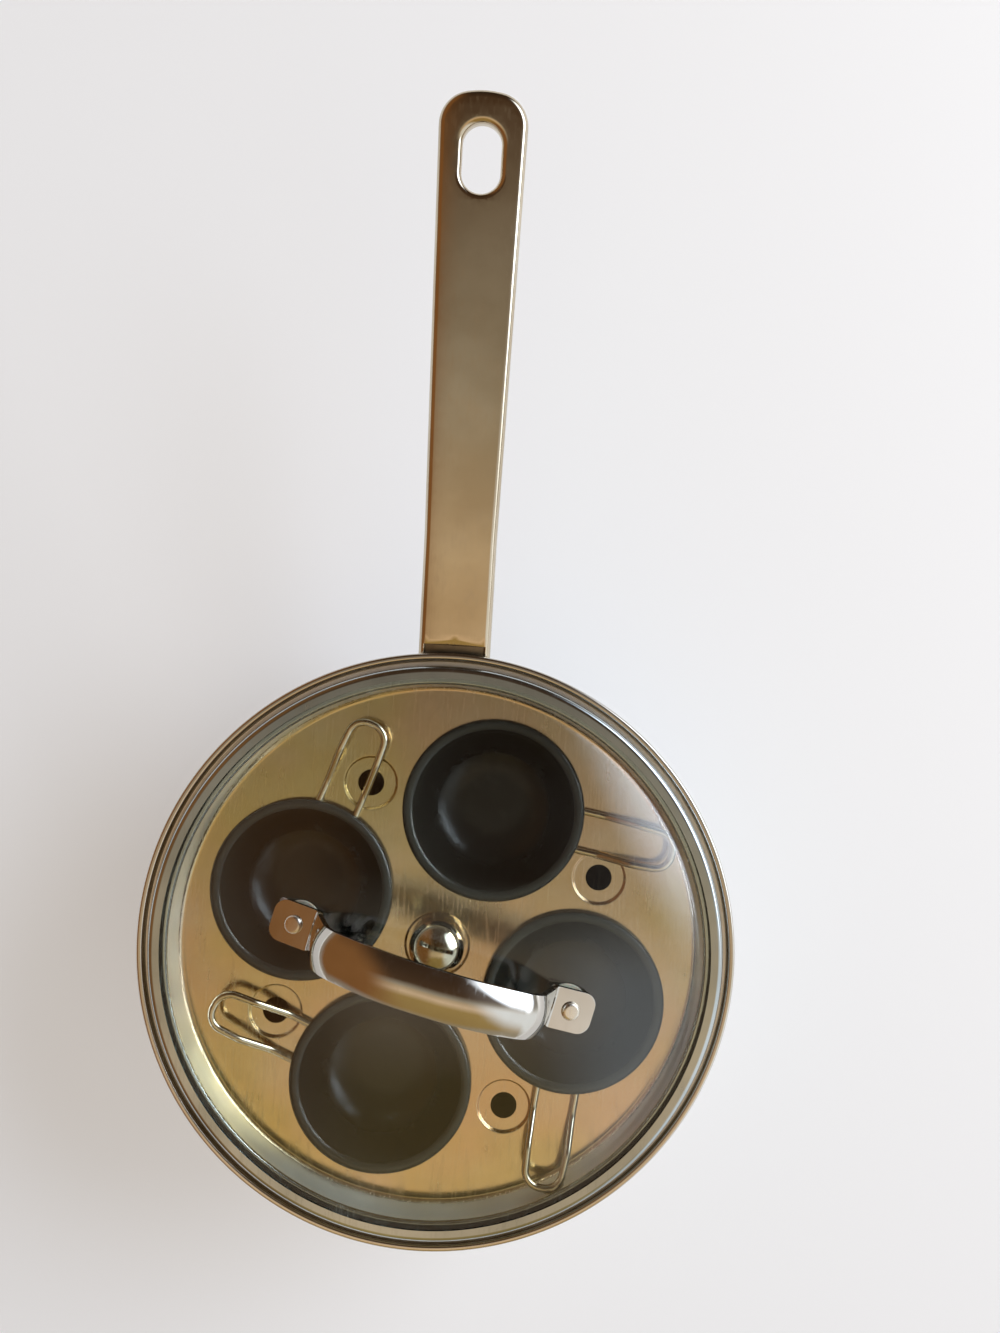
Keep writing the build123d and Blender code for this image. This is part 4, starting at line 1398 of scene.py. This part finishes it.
@dataclass
class Cups(Maker):
    """The four coated bowls with turned-down lips and their wire loops."""

    pot: Pot
    tray: Tray
    bender: WireTree
    gap: float = 9.2
    mouth_radius: float = 29.2
    wall: float = 1.2
    depth: float = 27.0
    draft_run: float = 2.4
    floor_bend: float = 17.5
    lip_width: float = 4.1
    throat_under_bend: float = 1.1
    lip_under_bend: float = 0.6
    leg_headroom: float = 0.35
    rod_radius: float = 1.35
    rest_gap: float = 0.35
    foot_half_width: float = 7.2
    tip_half_width: float = 6.4
    foot_run: float = 7.0
    rise_run: float = 12.5
    first_rise_share: float = 0.81
    headroom: float = 0.75
    side_bend: float = 9.0
    skirt_length: float = 2.6
    wall_clearance: float = 0.7
    weld_clearance: float = 0.05
    turns: tuple[float, ...] = (-91.0, -80.5, -77.5, -93.5)
    names: str = "abcd"

    @property
    def lip_radius(self) -> float:
        """Outer edge of the lip."""
        return self.mouth_radius + self.lip_width

    @property
    def pitch_radius(self) -> float:
        """Circle of the cups' centres."""
        return (2 * self.lip_radius + self.gap) / math.sqrt(2)

    @property
    def leg_z(self) -> float:
        """Height of the wire's legs over the tray."""
        return self.tray.top_z + self.rest_gap + self.rod_radius

    @property
    def lip_z(self) -> float:
        """Top of the lip, which stands on the tray by its skirt."""
        return self.tray.top_z + self.rest_gap + 2 * self.rod_radius + self.leg_headroom + self.wall

    @property
    def tip_z(self) -> float:
        """Height of the loop's round end, under the lid's skirt."""
        return self.tray.flange_z - self.skirt_length - self.headroom - self.rod_radius

    @property
    def reach(self) -> float:
        """Reach of a loop from its cup's centre, so that the widest clears the tray's wall.

        Returns:
            Distance from the cup's centre to the loop's far end.
        """
        share = (self.tray.flange_z - self.tip_z) / self.tray.depth
        room = self.tray.wall_radius - self.tray.wall_lean * share - self.wall_clearance
        bend = self.tip_half_width - self.rod_radius / 4
        turn = math.radians(max(self.turns))
        side = self.pitch_radius * math.sin(-turn) + self.tip_half_width - bend
        along = math.sqrt((room - bend - self.rod_radius) ** 2 - side**2)
        return along - self.pitch_radius * math.cos(turn) + bend + self.rod_radius

    def bowl(self) -> bpy.types.Mesh:
        """One bowl: round bottom, rolled lip, skirt down to the tray.

        Returns:
            The mesh, on the axis.
        """
        floor_z = self.lip_z - self.depth
        corners = [
            (0, floor_z),
            (self.mouth_radius - self.draft_run, floor_z),
            (self.mouth_radius, self.lip_z),
            (self.lip_radius, self.lip_z),
            (self.lip_radius, self.tray.top_z),
        ]
        bends = [self.floor_bend, self.wall + self.throat_under_bend, self.wall + self.lip_under_bend]
        outline = sheet(rounded(corners, bends, 5), self.wall)
        return self.spinner.spin(outline, self.finishes.coating, 192)

    def loop(self) -> bpy.types.Mesh:
        """One wire loop, welded under a lip and rising to its round end.

        Returns:
            The mesh, its cup on the axis and its round end along +X.
        """
        rise_start = self.lip_radius + self.foot_run
        knee_z = self.leg_z + (self.tip_z - self.leg_z) * self.first_rise_share
        foot = math.sqrt((self.mouth_radius + self.wall + self.weld_clearance) ** 2 - self.foot_half_width**2)
        leg = [
            (foot, self.foot_half_width, self.leg_z),
            (rise_start, self.foot_half_width, self.leg_z),
            (rise_start + self.rise_run, self.foot_half_width, knee_z),
            (self.reach - self.rod_radius, self.tip_half_width, self.tip_z),
        ]
        line = leg + [(x, -y, z) for x, y, z in reversed(leg)]
        tip_bend = self.tip_half_width - self.rod_radius / 4
        bends = [0, self.side_bend, self.side_bend, tip_bend]
        draft = mesh_from(line, [], [(index, index + 1) for index in range(len(line) - 1)])
        bend = draft.attributes.new("bend", "FLOAT", "POINT")
        bend.data.foreach_set("value", [radius * MM for radius in bends + bends[::-1]])
        values = {"Rod radius": self.rod_radius * MM, "Rod sides": 20}
        return tidy(self.bender.run(draft, Finish=self.finishes.wire, **values))

    def build(self) -> None:
        """Put a bowl and a loop at each cup's place."""
        bowl, loop = self.bowl(), self.loop()
        for index, (name, turn) in enumerate(zip(self.names, self.turns)):
            angle = self.tray.cup_phase + math.tau / 4 * (1 - index)
            spot = Vector((math.cos(angle), math.sin(angle), 0)) * self.pitch_radius * MM
            place = Matrix.Translation(spot) @ Matrix.Rotation(angle + math.radians(turn), 4, "Z")
            for title, part, draft, finish, slot in (
                ("egg_cup", "bowl", bowl, self.finishes.coating, "cup_coating"),
                ("wire_loop", "handle", loop, self.finishes.wire, "wire_steel"),
            ):
                mesh = draft.copy()
                mesh.transform(place)
                self.piece(f"{title}_{name}", mesh, finish, f"cup_{name}", slot, f"cup_{name}_{part}")


@dataclass
class Lid(Maker):
    """The domed glass lid with its steel band, bowed strap handle and rivets."""

    tray: Tray
    pair: DomePairTree
    thickness: float = 4.0
    edge_flat: float = 0.2
    rim_width: float = 7.5
    dome_rise: float = 22.0
    shoulder_bend: float = 7.0
    setback: float = 1.3
    band_thickness: float = 0.5
    band_top_width: float = 4.5
    band_side_flat: float = 0.7
    band_floor_width: float = 6.4
    skirt_length: float = 2.6
    skirt_bend: float = 0.8
    clearance: float = 0.05
    edge_clearance: float = 0.3
    turn: float = math.radians(-13.9)
    rivet_offset: float = 48.8
    rivet_radius: float = 2.0
    head_width: float = 1.2
    head_height: float = 1.5
    tail_width: float = 1.4
    tail_height: float = 1.3
    head_foot_bend: float = 0.25
    head_bend_share: float = 0.8
    tail_bend_share: float = 0.9
    foot_width: float = 14.4
    foot_inner: float = 8.4
    foot_outer: float = 8.2
    foot_thickness: float = 2.0
    foot_corner: float = 4.4
    fold_bend: float = 2.4
    neck_width: float = 11.6
    neck_crown: float = 0.4
    strap_width: float = 15.6
    strap_crown: float = 2.7
    strap_edge: float = 1.9
    strap_edge_bend: float = 0.8
    strap_steps: int = 18
    foot_steps: int = 9
    top_height: float = 31.5
    shoulder_height: float = 20.5
    shoulder_inset: float = 12.8
    top_share: float = 0.43
    shoulder_tangent_share: float = 0.25
    top_tangent_share: float = 0.5
    pad_thickness: float = 1.0
    pad_inset: float = 0.5
    pad_inner_bend: float = 0.8
    collar_wall: float = 1.55
    collar_short: float = 0.8
    washer_radius: float = 7.4
    washer_thickness: float = 1.2
    washer_gap: float = 0.03
    backing_radius: float = 6.2
    backing_thickness: float = 0.8

    @property
    def band_radius(self) -> float:
        """Outside of the steel band."""
        return self.tray.flange_radius - self.setback

    @property
    def rim_z(self) -> float:
        """Underside of the glass rim."""
        return self.tray.flange_z + self.band_thickness + self.clearance

    @property
    def dome_radius(self) -> float:
        """Where the dome meets the flat rim."""
        return self.band_radius - self.rim_width

    @property
    def sphere(self) -> float:
        """Radius of the dome's outer sphere."""
        return (self.dome_radius**2 + self.dome_rise**2) / (2 * self.dome_rise)

    @property
    def top_z(self) -> float:
        """Highest point of the glass."""
        return self.rim_z + self.thickness + self.dome_rise

    @property
    def centre_z(self) -> float:
        """Height of the dome sphere's centre."""
        return self.top_z - self.sphere

    @property
    def lean(self) -> float:
        """Angle between the pan's axis and a rivet."""
        return math.asin(self.rivet_offset / self.sphere)

    def face_line(self, radius: float, level: float) -> list[Point]:
        """One face of the glass from the axis to the rim, its shoulder blended.

        Args:
            radius: radius of the dome's sphere on this face.
            level: height of the flat rim on this face.

        Returns:
            Points from the axis outwards.
        """
        bend_z = level + self.shoulder_bend
        reach = radius + self.shoulder_bend
        bend_x = math.sqrt(reach**2 - (bend_z - self.centre_z) ** 2)
        meet = math.degrees(math.atan2(bend_z - self.centre_z, bend_x))
        dome = arc((0, self.centre_z), radius, 90, meet, 40)
        shoulder = arc((bend_x, bend_z), self.shoulder_bend, 180 + meet, 270, 6)
        return dome + shoulder[1:]

    def glass(self) -> bpy.types.Mesh:
        """The domed glass with its rounded edge.

        Returns:
            The closed mesh.
        """
        edge = self.band_radius - self.band_thickness - self.edge_clearance
        high, low = self.rim_z + self.thickness, self.rim_z
        upper = self.face_line(self.sphere, high)
        lower = self.face_line(self.sphere - self.thickness, low)
        bend = (self.thickness - self.edge_flat) / 2
        rim = rounded([upper[-1], (edge, high), (edge, low), lower[-1]], [bend, bend], 10)
        outline = upper + rim[1:-1] + lower[::-1]
        return self.spinner.spin(outline, self.finishes.glass, closed=False)

    def band(self) -> bpy.types.Mesh:
        """The rolled strip over the glass edge, with the skirt that centres the lid.

        Returns:
            The mesh.
        """
        bottom = self.tray.flange_z
        top = bottom + self.thickness + 2 * self.clearance + 2 * self.band_thickness
        skirt = self.band_radius - self.band_floor_width
        corners = [
            (self.band_radius - self.band_top_width, top),
            (self.band_radius, top),
            (self.band_radius, bottom),
            (skirt, bottom),
            (skirt, bottom - self.skirt_length),
        ]
        bend = (top - bottom - self.band_side_flat) / 2
        outline = sheet(rounded(corners, [bend, bend, self.skirt_bend]), self.band_thickness)
        return self.spinner.spin(outline, self.finishes.band)

    def strap_line(self) -> list[Point]:
        """Centre line of the strap in its own upright plane: feet, legs, shoulders, low bow.

        Returns:
            Points from foot to foot.
        """
        stack = self.pad_thickness + self.foot_thickness / 2
        outward = Vector((math.cos(self.lean), -math.sin(self.lean)))
        normal = Vector((math.sin(self.lean), math.cos(self.lean)))
        seat = normal * (self.sphere + stack) + Vector((0, self.centre_z))
        neck = seat - outward * (self.foot_inner - self.strap_edge / 2)
        shoulder = Vector((self.rivet_offset - self.shoulder_inset, self.top_z + self.shoulder_height))
        top = Vector((shoulder.x * self.top_share, self.top_z + self.top_height - self.strap_crown))
        right = [seat + outward * self.foot_outer, neck, shoulder, top]
        leg, slope = (math.atan2((b - a).y, (b - a).x) for a, b in zip(right[1:], right[2:]))
        run = (top - shoulder).length
        bends = [
            self.fold_bend,
            self.shoulder_tangent_share * run / math.tan((slope - leg) / 2),
            self.top_tangent_share * run / math.tan((math.pi - slope) / 2),
        ]
        corners = [tuple(p) for p in right] + [(-p.x, p.y) for p in reversed(right)]
        return self.with_foot_steps(rounded(corners, bends + bends[::-1], 4))

    def with_foot_steps(self, line: list[Point]) -> list[Point]:
        """Add points close together where the feet's corners are rounded in plan.

        Args:
            line: centre line of the strap.

        Returns:
            The line with more points near both ends.
        """
        quarter = math.pi / 2 / self.foot_steps
        shares = [1 - math.cos(quarter * index) for index in range(1, self.foot_steps + 1)]
        start, end = Vector(line[0]), Vector(line[-1])
        inward = (Vector(line[1]) - start).normalized() * self.foot_corner
        other = (Vector(line[-2]) - end).normalized() * self.foot_corner
        first = [tuple(start + inward * share) for share in shares]
        last = [tuple(end + other * share) for share in reversed(shares)]
        return [line[0]] + first + line[1:-1] + last + [line[-1]]

    def strap_section(self, done: float, total: float) -> tuple[float, float, float]:
        """Half width, crown and thickness of the strap at a distance along it.

        Args:
            done: distance from the nearer outer end of a foot.
            total: half the strap's whole length.

        Returns:
            Half width, crown and thickness.
        """
        foot = self.foot_inner + self.foot_outer
        if done < self.foot_corner:
            inset = self.foot_corner - math.sqrt(self.foot_corner**2 - (self.foot_corner - done) ** 2)
            return self.foot_width / 2 - inset, 0.0, self.foot_thickness
        if done < foot - self.fold_bend:
            return self.foot_width / 2, 0.0, self.foot_thickness
        share = min(1.0, (done - foot + self.fold_bend) / (2 * self.fold_bend))
        smooth = share * share * (3 - 2 * share)
        rise = max(0.0, (done - foot) / (total - foot))
        swell = 1 - (1 - math.sin(math.pi / 2 * rise)) ** 2
        width = self.neck_width + (self.strap_width - self.neck_width) * swell
        crown = self.neck_crown + (self.strap_crown - self.neck_crown) * swell
        half = (self.foot_width + (width - self.foot_width) * smooth) / 2
        edge = self.foot_thickness + (self.strap_edge - self.foot_thickness) * smooth
        return half, crown * smooth, edge

    def strap(self) -> bpy.types.Mesh:
        """The bowed strap and its two flat feet, pressed from one strip.

        Returns:
            The mesh, in place.
        """
        line = self.strap_line()
        lengths = [0.0]
        for a, b in zip(line, line[1:]):
            lengths.append(lengths[-1] + (Vector(b) - Vector(a)).length)
        across = self.strap_steps
        points: list[Vector] = []
        normals = side_normals(line)
        for spot, normal, done in zip(line, normals, lengths):
            half, crown, edge = self.strap_section(min(done, lengths[-1] - done), lengths[-1] / 2)
            up = normal.normalized()
            for face in (1, -1):
                for step in range(across + 1):
                    share = (2 * step / across - 1) * face
                    height = face * edge / 2 + crown * (1 - share**2)
                    points.append(Vector((spot[0] + up.x * height, half * share, spot[1] + up.y * height)))
        ring = 2 * (across + 1)
        faces: list[tuple[int, ...]] = []
        for row in range(len(line) - 1):
            for index in range(ring):
                a, b = row * ring + index, row * ring + (index + 1) % ring
                faces.append((a, b, b + ring, a + ring))
        faces += [tuple(range(ring)), tuple(range((len(line) - 1) * ring, len(line) * ring))]
        draft = new_object("draft_strap", tidy(mesh_from(points, faces)), self.finishes.strap)
        edge = draft.modifiers.new("edge", "BEVEL")
        edge.width = self.strap_edge_bend * MM
        edge.segments = 4
        edge.angle_limit = math.radians(50)
        return tidy(evaluated(draft), Matrix.Rotation(self.turn, 4, "Z"))

    def at_rivets(self, draft: bpy.types.Mesh, finish: bpy.types.Material) -> bpy.types.Mesh:
        """Stand a mesh made round the axis at both rivets.

        Args:
            draft: the mesh, its zero level on the glass.
            finish: its material.

        Returns:
            The pair, as one mesh.
        """
        values = {
            "Sphere radius": self.sphere * MM,
            "Sphere height": self.centre_z * MM,
            "Lean": self.lean,
            "Turn": self.turn,
            "Finish": finish,
        }
        return tidy(self.pair.run(draft, **values))

    def rivet_line(self) -> list[Point]:
        """Half section of a domed rivet.

        Returns:
            Points from its tail to its head.
        """
        head = self.pad_thickness + self.foot_thickness
        tail = self.under_glass - self.washer_thickness - self.backing_thickness
        wide, flat = self.rivet_radius + self.head_width, self.rivet_radius + self.tail_width
        line = [
            (0, tail - self.tail_height),
            (flat, tail - self.tail_height),
            (flat, tail),
            (self.rivet_radius, tail),
            (self.rivet_radius, head),
            (wide, head),
            (wide, head + self.head_height),
            (0, head + self.head_height),
        ]
        tail_bend = self.tail_height * self.tail_bend_share
        head_bend = self.head_height * self.head_bend_share
        return rounded(line, [tail_bend, 0, 0, 0, self.head_foot_bend, head_bend])

    @property
    def under_glass(self) -> float:
        """Level of the lower gasket's top, under the curved glass, from its top face."""
        inner = self.sphere - self.thickness
        return -self.thickness - self.washer_radius**2 / (2 * inner) - self.washer_gap

    def washer(
        self, radius: float, thickness: float, top: float, finish: bpy.types.Material
    ) -> bpy.types.Mesh:
        """Flat ring round both rivets.

        Args:
            radius: its outer radius.
            thickness: its thickness.
            top: height of its top face, from the glass.
            finish: its material.

        Returns:
            The pair, as one mesh.
        """
        bore = self.rivet_radius + self.clearance
        corners = [(bore, top), (radius, top), (radius, top - thickness), (bore, top - thickness)]
        outline = rounded(corners, [thickness / 5, thickness / 5], 30)
        return self.at_rivets(self.spinner.spin(outline, finish, 48), finish)

    def pads(self) -> bpy.types.Mesh:
        """The two pads under the feet, each a rounded plate with a collar down the glass hole.

        Returns:
            The pair, as one mesh.
        """
        half = self.foot_width / 2 - self.pad_inset
        bend = self.foot_corner - self.pad_inset
        x_in, x_out = -self.foot_inner + self.pad_inset, self.foot_outer - self.pad_inset
        corners = [(0, -half), (x_out, -half), (x_out, half), (x_in, half), (x_in, -half), (0, -half)]
        inner = self.pad_inner_bend
        plan = rounded(corners, [bend, bend, inner, inner], 10)[:-1]
        work = bmesh.new()
        ring = [work.verts.new((x * MM, y * MM, 0)) for x, y in plan]
        base = work.faces.new(ring)
        made = bmesh.ops.extrude_face_region(work, geom=[base])
        lifted = [item for item in made["geom"] if isinstance(item, bmesh.types.BMVert)]
        bmesh.ops.translate(work, vec=(0, 0, self.pad_thickness * MM), verts=lifted)
        collar = (self.rivet_radius + self.collar_wall) * MM
        low = (self.collar_short - self.thickness) * MM
        bmesh.ops.create_cone(
            work,
            cap_ends=True,
            segments=40,
            radius1=collar,
            radius2=collar,
            depth=-low,
            matrix=Matrix.Translation((0, 0, low / 2)),
        )
        mesh = bpy.data.meshes.new("pad")
        work.to_mesh(mesh)
        work.free()
        return self.at_rivets(mesh, self.finishes.silicone)

    def build(self) -> None:
        """Make every piece of the lid."""
        looks = self.finishes
        self.piece("glass_dome", self.glass(), looks.glass, "lid", "lid_glass", "lid_glass")
        self.piece("rim_band", self.band(), looks.band, "lid", "lid_band_steel", "lid_rim_band")
        self.piece("strap_handle", self.strap(), looks.strap, "lid", "lid_handle_steel", "lid_handle")
        rivet = self.spinner.spin(self.rivet_line(), looks.rivet, 48, closed=False)
        rivets = self.at_rivets(rivet, looks.rivet)
        self.piece("rivets", rivets, looks.rivet, "lid", "lid_handle_steel", "lid_rivets")
        self.piece("foot_pads", self.pads(), looks.silicone, "lid", "silicone", "lid_upper_gaskets")
        top = self.under_glass
        soft = self.washer(self.washer_radius, self.washer_thickness, top, looks.silicone)
        self.piece("glass_washers", soft, looks.silicone, "lid", "silicone", "lid_lower_gaskets")
        top -= self.washer_thickness
        hard = self.washer(self.backing_radius, self.backing_thickness, top, looks.fastener)
        self.piece("backing_washers", hard, looks.fastener, "lid", "fastener_steel", "lid_backing_washers")


# Studio


@dataclass
class Studio:
    """A plain white table, soft light from all round and a camera straight above."""

    floor_size: float = 8.0
    floor_drop: float = 0.0002
    floor_colour: str = "#F1F5FA"
    own_white: float = 0.38
    shadow_radius: float = 0.55
    fade_radius: float = 1.7
    front_stops: tuple[tuple[float, str], ...] = (
        (0.0, "#AE925C"),
        (1.0, "#3A2A1E"),
        (0.18, "#B6995F"),
        (0.3, "#F0D2AE"),
        (0.38, "#D3BA97"),
        (0.45, "#ABA08E"),
        (0.56, "#574230"),
    )
    card_edges: tuple[tuple[str, str, Point, Point], ...] = (
        ("left", "X", (-0.15, -0.6), (0.0, 1.0)),
        ("above", "Z", (0.04, 0.26), (0.4, 1.0)),
        ("right", "X", (0.28, 0.66), (0.0, 1.0)),
        ("front", "Y", (0.02, -0.3), (0.1, 1.0)),
    )
    left_card: str = "#8F6239"
    far_wall: str = "#A9A69C"
    right_wall: str = "#F3F6F8"
    right_strength: float = 1.15
    lamp_turn: float = math.radians(25.0)
    lamp_rise: float = math.radians(27.0)
    lamp_half_turn: float = math.radians(42.0)
    lamp_half_rise: float = math.radians(22.0)
    lamp_core: float = 0.3
    lamp_strength: float = 6.5
    lamp_colour: str = "#E2EEFF"
    box_width: float = 1.1
    box_height: float = 0.32
    box_watts: float = 12.0
    box_distance: float = 1.25
    box_turn: float = math.radians(25.0)
    box_rise: float = math.radians(17.0)
    camera_place_mm: tuple[float, float, float] = (16.9, 103.9, 521.8)
    camera_roll: float = math.radians(3.5)
    lens_mm: float = 33.9
    sensor_mm: float = 36.0

    def floor(self) -> None:
        """Lay the pale table top, white to the eye and to mirrors, with the pan's shadow on it."""
        half = self.floor_size / 2
        plan = ((-half, -half), (half, -half), (half, half), (-half, half))
        corners = [(x, y, -self.floor_drop) for x, y in plan]
        mesh = bpy.data.meshes.new("table_top")
        mesh.from_pydata(corners, [], [(0, 1, 2, 3)])
        # Matt white laminate: no gloss, a soft grey shadow near the pan.
        material = bpy.data.materials.new("matt_white_table")
        material.use_nodes = True
        tree = material.node_tree
        tree.nodes.clear()
        matt = add_node(tree, "ShaderNodeBsdfDiffuse", {"Color": linear(self.floor_colour)})
        white = add_node(tree, "ShaderNodeEmission", {"Color": (1, 1, 1, 1), "Strength": 1.0})
        path = add_node(tree, "ShaderNodeLightPath").outputs
        plain_sight = {0: path["Is Camera Ray"], 1: path["Is Glossy Ray"]}
        seen = add_node(tree, "ShaderNodeMath", plain_sight, operation="MAXIMUM")
        glassy = {0: seen, 1: path["Is Transmission Ray"]}
        seen = add_node(tree, "ShaderNodeMath", glassy, operation="MAXIMUM")
        place = add_node(tree, "ShaderNodeTexCoord").outputs["Object"]
        away = add_node(tree, "ShaderNodeVectorMath", {0: place}, operation="LENGTH").outputs["Value"]
        ends = {"From Min": self.shadow_radius, "From Max": self.fade_radius, "To Min": self.own_white}
        plain = add_node(
            tree, "ShaderNodeMapRange", {"Value": away, **ends}, interpolation_type="SMOOTHSTEP"
        )
        share = add_node(tree, "ShaderNodeMath", {0: seen, 1: plain}, operation="MULTIPLY")
        mixed = add_node(tree, "ShaderNodeMixShader", {0: share, 1: matt, 2: white})
        add_node(tree, "ShaderNodeOutputMaterial", {"Surface": mixed})
        new_object("table_top", mesh, material)

    def masks(self, tree: bpy.types.NodeTree, axes: bpy.types.NodeOutputs) -> dict[str, bpy.types.Node]:
        """Soft edges of the cards and walls, each along one axis.

        Args:
            tree: the world's nodes.
            axes: the direction's X, Y and Z.

        Returns:
            The node with each edge's share, by its name.
        """
        made = {}
        for name, axis, span, values in self.card_edges:
            ends = {"From Min": span[0], "From Max": span[1], "To Min": values[0], "To Max": values[1]}
            feeds = {"Value": axes[axis], **ends}
            made[name] = add_node(tree, "ShaderNodeMapRange", feeds, interpolation_type="SMOOTHSTEP")
        return made

    def cards(
        self, tree: bpy.types.NodeTree, axes: bpy.types.NodeOutputs, masks: dict[str, bpy.types.Node]
    ) -> bpy.types.NodeSocket:
        """Colour of the room: gold card in front, dark behind, brown card left, grey walls low.

        Args:
            tree: the world's nodes.
            axes: the direction's X, Y and Z.
            masks: share of each card.

        Returns:
            The colour's socket.
        """
        ends = {"From Min": -1.0, "From Max": 1.0}
        depth = add_node(tree, "ShaderNodeMapRange", {"Value": axes["Y"], **ends})
        ramp = add_node(tree, "ShaderNodeValToRGB", {0: depth})
        stops = ramp.color_ramp.elements
        for index, (place, code) in enumerate(self.front_stops):
            stop = stops[index] if index < 2 else stops.new(place)
            stop.color = linear(code)
        feeds = {"Factor": masks["left"], "A": ramp, "B": linear(self.left_card)}
        cards = add_node(tree, "ShaderNodeMix", feeds, data_type="RGBA").outputs["Result"]
        feeds = {"Factor": masks["above"], "A": linear(self.far_wall), "B": cards}
        return add_node(tree, "ShaderNodeMix", feeds, data_type="RGBA").outputs["Result"]

    def low_lamp(self, tree: bpy.types.NodeTree, axes: bpy.types.NodeOutputs) -> bpy.types.Node:
        """A wide soft lamp low at the right, which draws the crescents in the cups.

        Args:
            tree: the world's nodes.
            axes: the direction's X, Y and Z.

        Returns:
            The lamp's background node.
        """
        bearing = add_node(tree, "ShaderNodeMath", {0: axes["Y"], 1: axes["X"]}, operation="ARCTAN2")
        rise = add_node(tree, "ShaderNodeMath", {0: axes["Z"]}, operation="ARCSINE")
        way = add_node(tree, "ShaderNodeCombineXYZ", {"X": bearing, "Y": rise})
        aim = (self.lamp_turn, self.lamp_rise, 0)
        off = add_node(tree, "ShaderNodeVectorMath", {0: way, 1: aim}, operation="SUBTRACT")
        spread = (1 / self.lamp_half_turn, 1 / self.lamp_half_rise, 0)
        scaled = add_node(tree, "ShaderNodeVectorMath", {0: off, 1: spread}, operation="MULTIPLY")
        far = add_node(tree, "ShaderNodeVectorMath", {0: scaled}, operation="LENGTH").outputs["Value"]
        ends = {"From Min": 1.0, "From Max": self.lamp_core, "To Max": self.lamp_strength}
        spot = add_node(tree, "ShaderNodeMapRange", {"Value": far, **ends}, interpolation_type="SMOOTHSTEP")
        return add_node(tree, "ShaderNodeBackground", {"Color": linear(self.lamp_colour), "Strength": spot})

    def surroundings(self) -> None:
        """Light from the room: coloured cards, a white wall at the right and the low lamp."""
        world = bpy.data.worlds.new("room")
        world.use_nodes = True
        bpy.context.scene.world = world
        tree = world.node_tree
        tree.nodes.clear()
        way = add_node(tree, "ShaderNodeTexCoord").outputs["Generated"]
        axes = add_node(tree, "ShaderNodeSeparateXYZ", {0: way}).outputs
        masks = self.masks(tree, axes)
        room = self.cards(tree, axes, masks)
        dim = add_node(tree, "ShaderNodeBackground", {"Color": room, "Strength": 1.0})
        wall = {"Color": linear(self.right_wall), "Strength": self.right_strength}
        bright = add_node(tree, "ShaderNodeBackground", wall)
        crossed = {0: masks["right"], 1: masks["front"]}
        share = add_node(tree, "ShaderNodeMath", crossed, operation="MULTIPLY")
        glow = add_node(tree, "ShaderNodeMixShader", {0: share, 1: dim, 2: bright})
        glow = add_node(tree, "ShaderNodeAddShader", {0: glow, 1: self.low_lamp(tree, axes)})
        white = add_node(tree, "ShaderNodeBackground", {"Color": (1, 1, 1, 1), "Strength": 1.0})
        # White to the eye, also through the lid, but not through the lid in a mirror.
        path = add_node(tree, "ShaderNodeLightPath").outputs
        direct = add_node(tree, "ShaderNodeMath", {0: path["Glossy Depth"], 1: 0.5}, operation="LESS_THAN")
        glassy = {0: path["Is Transmission Ray"], 1: direct}
        through = add_node(tree, "ShaderNodeMath", glassy, operation="MULTIPLY")
        eye = {0: path["Is Camera Ray"], 1: through}
        seen = add_node(tree, "ShaderNodeMath", eye, operation="MAXIMUM")
        mixed = add_node(tree, "ShaderNodeMixShader", {0: seen, 1: glow, 2: white})
        add_node(tree, "ShaderNodeOutputWorld", {"Surface": mixed})

    def strip_box(self) -> None:
        """Stand a long low softbox at the right, too low to show in the glass dome."""
        light = bpy.data.lights.new("strip_softbox", "AREA")
        light.shape = "RECTANGLE"
        light.size = self.box_width
        light.size_y = self.box_height
        light.energy = self.box_watts
        holder = bpy.data.objects.new("strip_softbox", light)
        reach = self.box_distance * math.cos(self.box_rise)
        holder.location = (
            reach * math.cos(self.box_turn),
            reach * math.sin(self.box_turn),
            self.box_distance * math.sin(self.box_rise),
        )
        holder.rotation_euler = (-holder.location).to_track_quat("-Z", "Y").to_euler()
        holder.visible_glossy = False
        bpy.context.scene.collection.objects.link(holder)

    def camera(self) -> None:
        """Set the camera straight above the pan, turned a little, as in the photograph."""
        view = bpy.data.cameras.new("top_camera")
        view.lens = self.lens_mm
        view.sensor_width = self.sensor_mm
        view.clip_start = 0.01
        holder = bpy.data.objects.new("top_camera", view)
        holder.location = Vector(self.camera_place_mm) * MM
        holder.rotation_euler = (0, 0, self.camera_roll)
        bpy.context.scene.collection.objects.link(holder)
        bpy.context.scene.camera = holder

    def build(self) -> None:
        """Set the table, the light and the camera."""
        self.floor()
        self.surroundings()
        self.strip_box()
        self.camera()
        bpy.context.scene.view_settings.view_transform = "Standard"


def main() -> None:
    """Build the pan's sub-assemblies in order, then the studio."""
    logging.basicConfig(level=logging.INFO, format="%(message)s")
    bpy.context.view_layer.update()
    finishes, spinner = Finishes(), SpinTree()
    pot = Pot(finishes, spinner)
    tray = Tray(finishes, spinner, pot, RingTree())
    cups = Cups(finishes, spinner, pot, tray, WireTree())
    finishes.build(tray.top_z, cups.lip_z)
    pot.build()
    LongHandle(finishes, spinner, pot).build()
    tray.build(cups.pitch_radius)
    cups.build()
    Lid(finishes, spinner, tray, DomePairTree()).build()
    Studio().build()


if __name__ == "__main__":
    main()
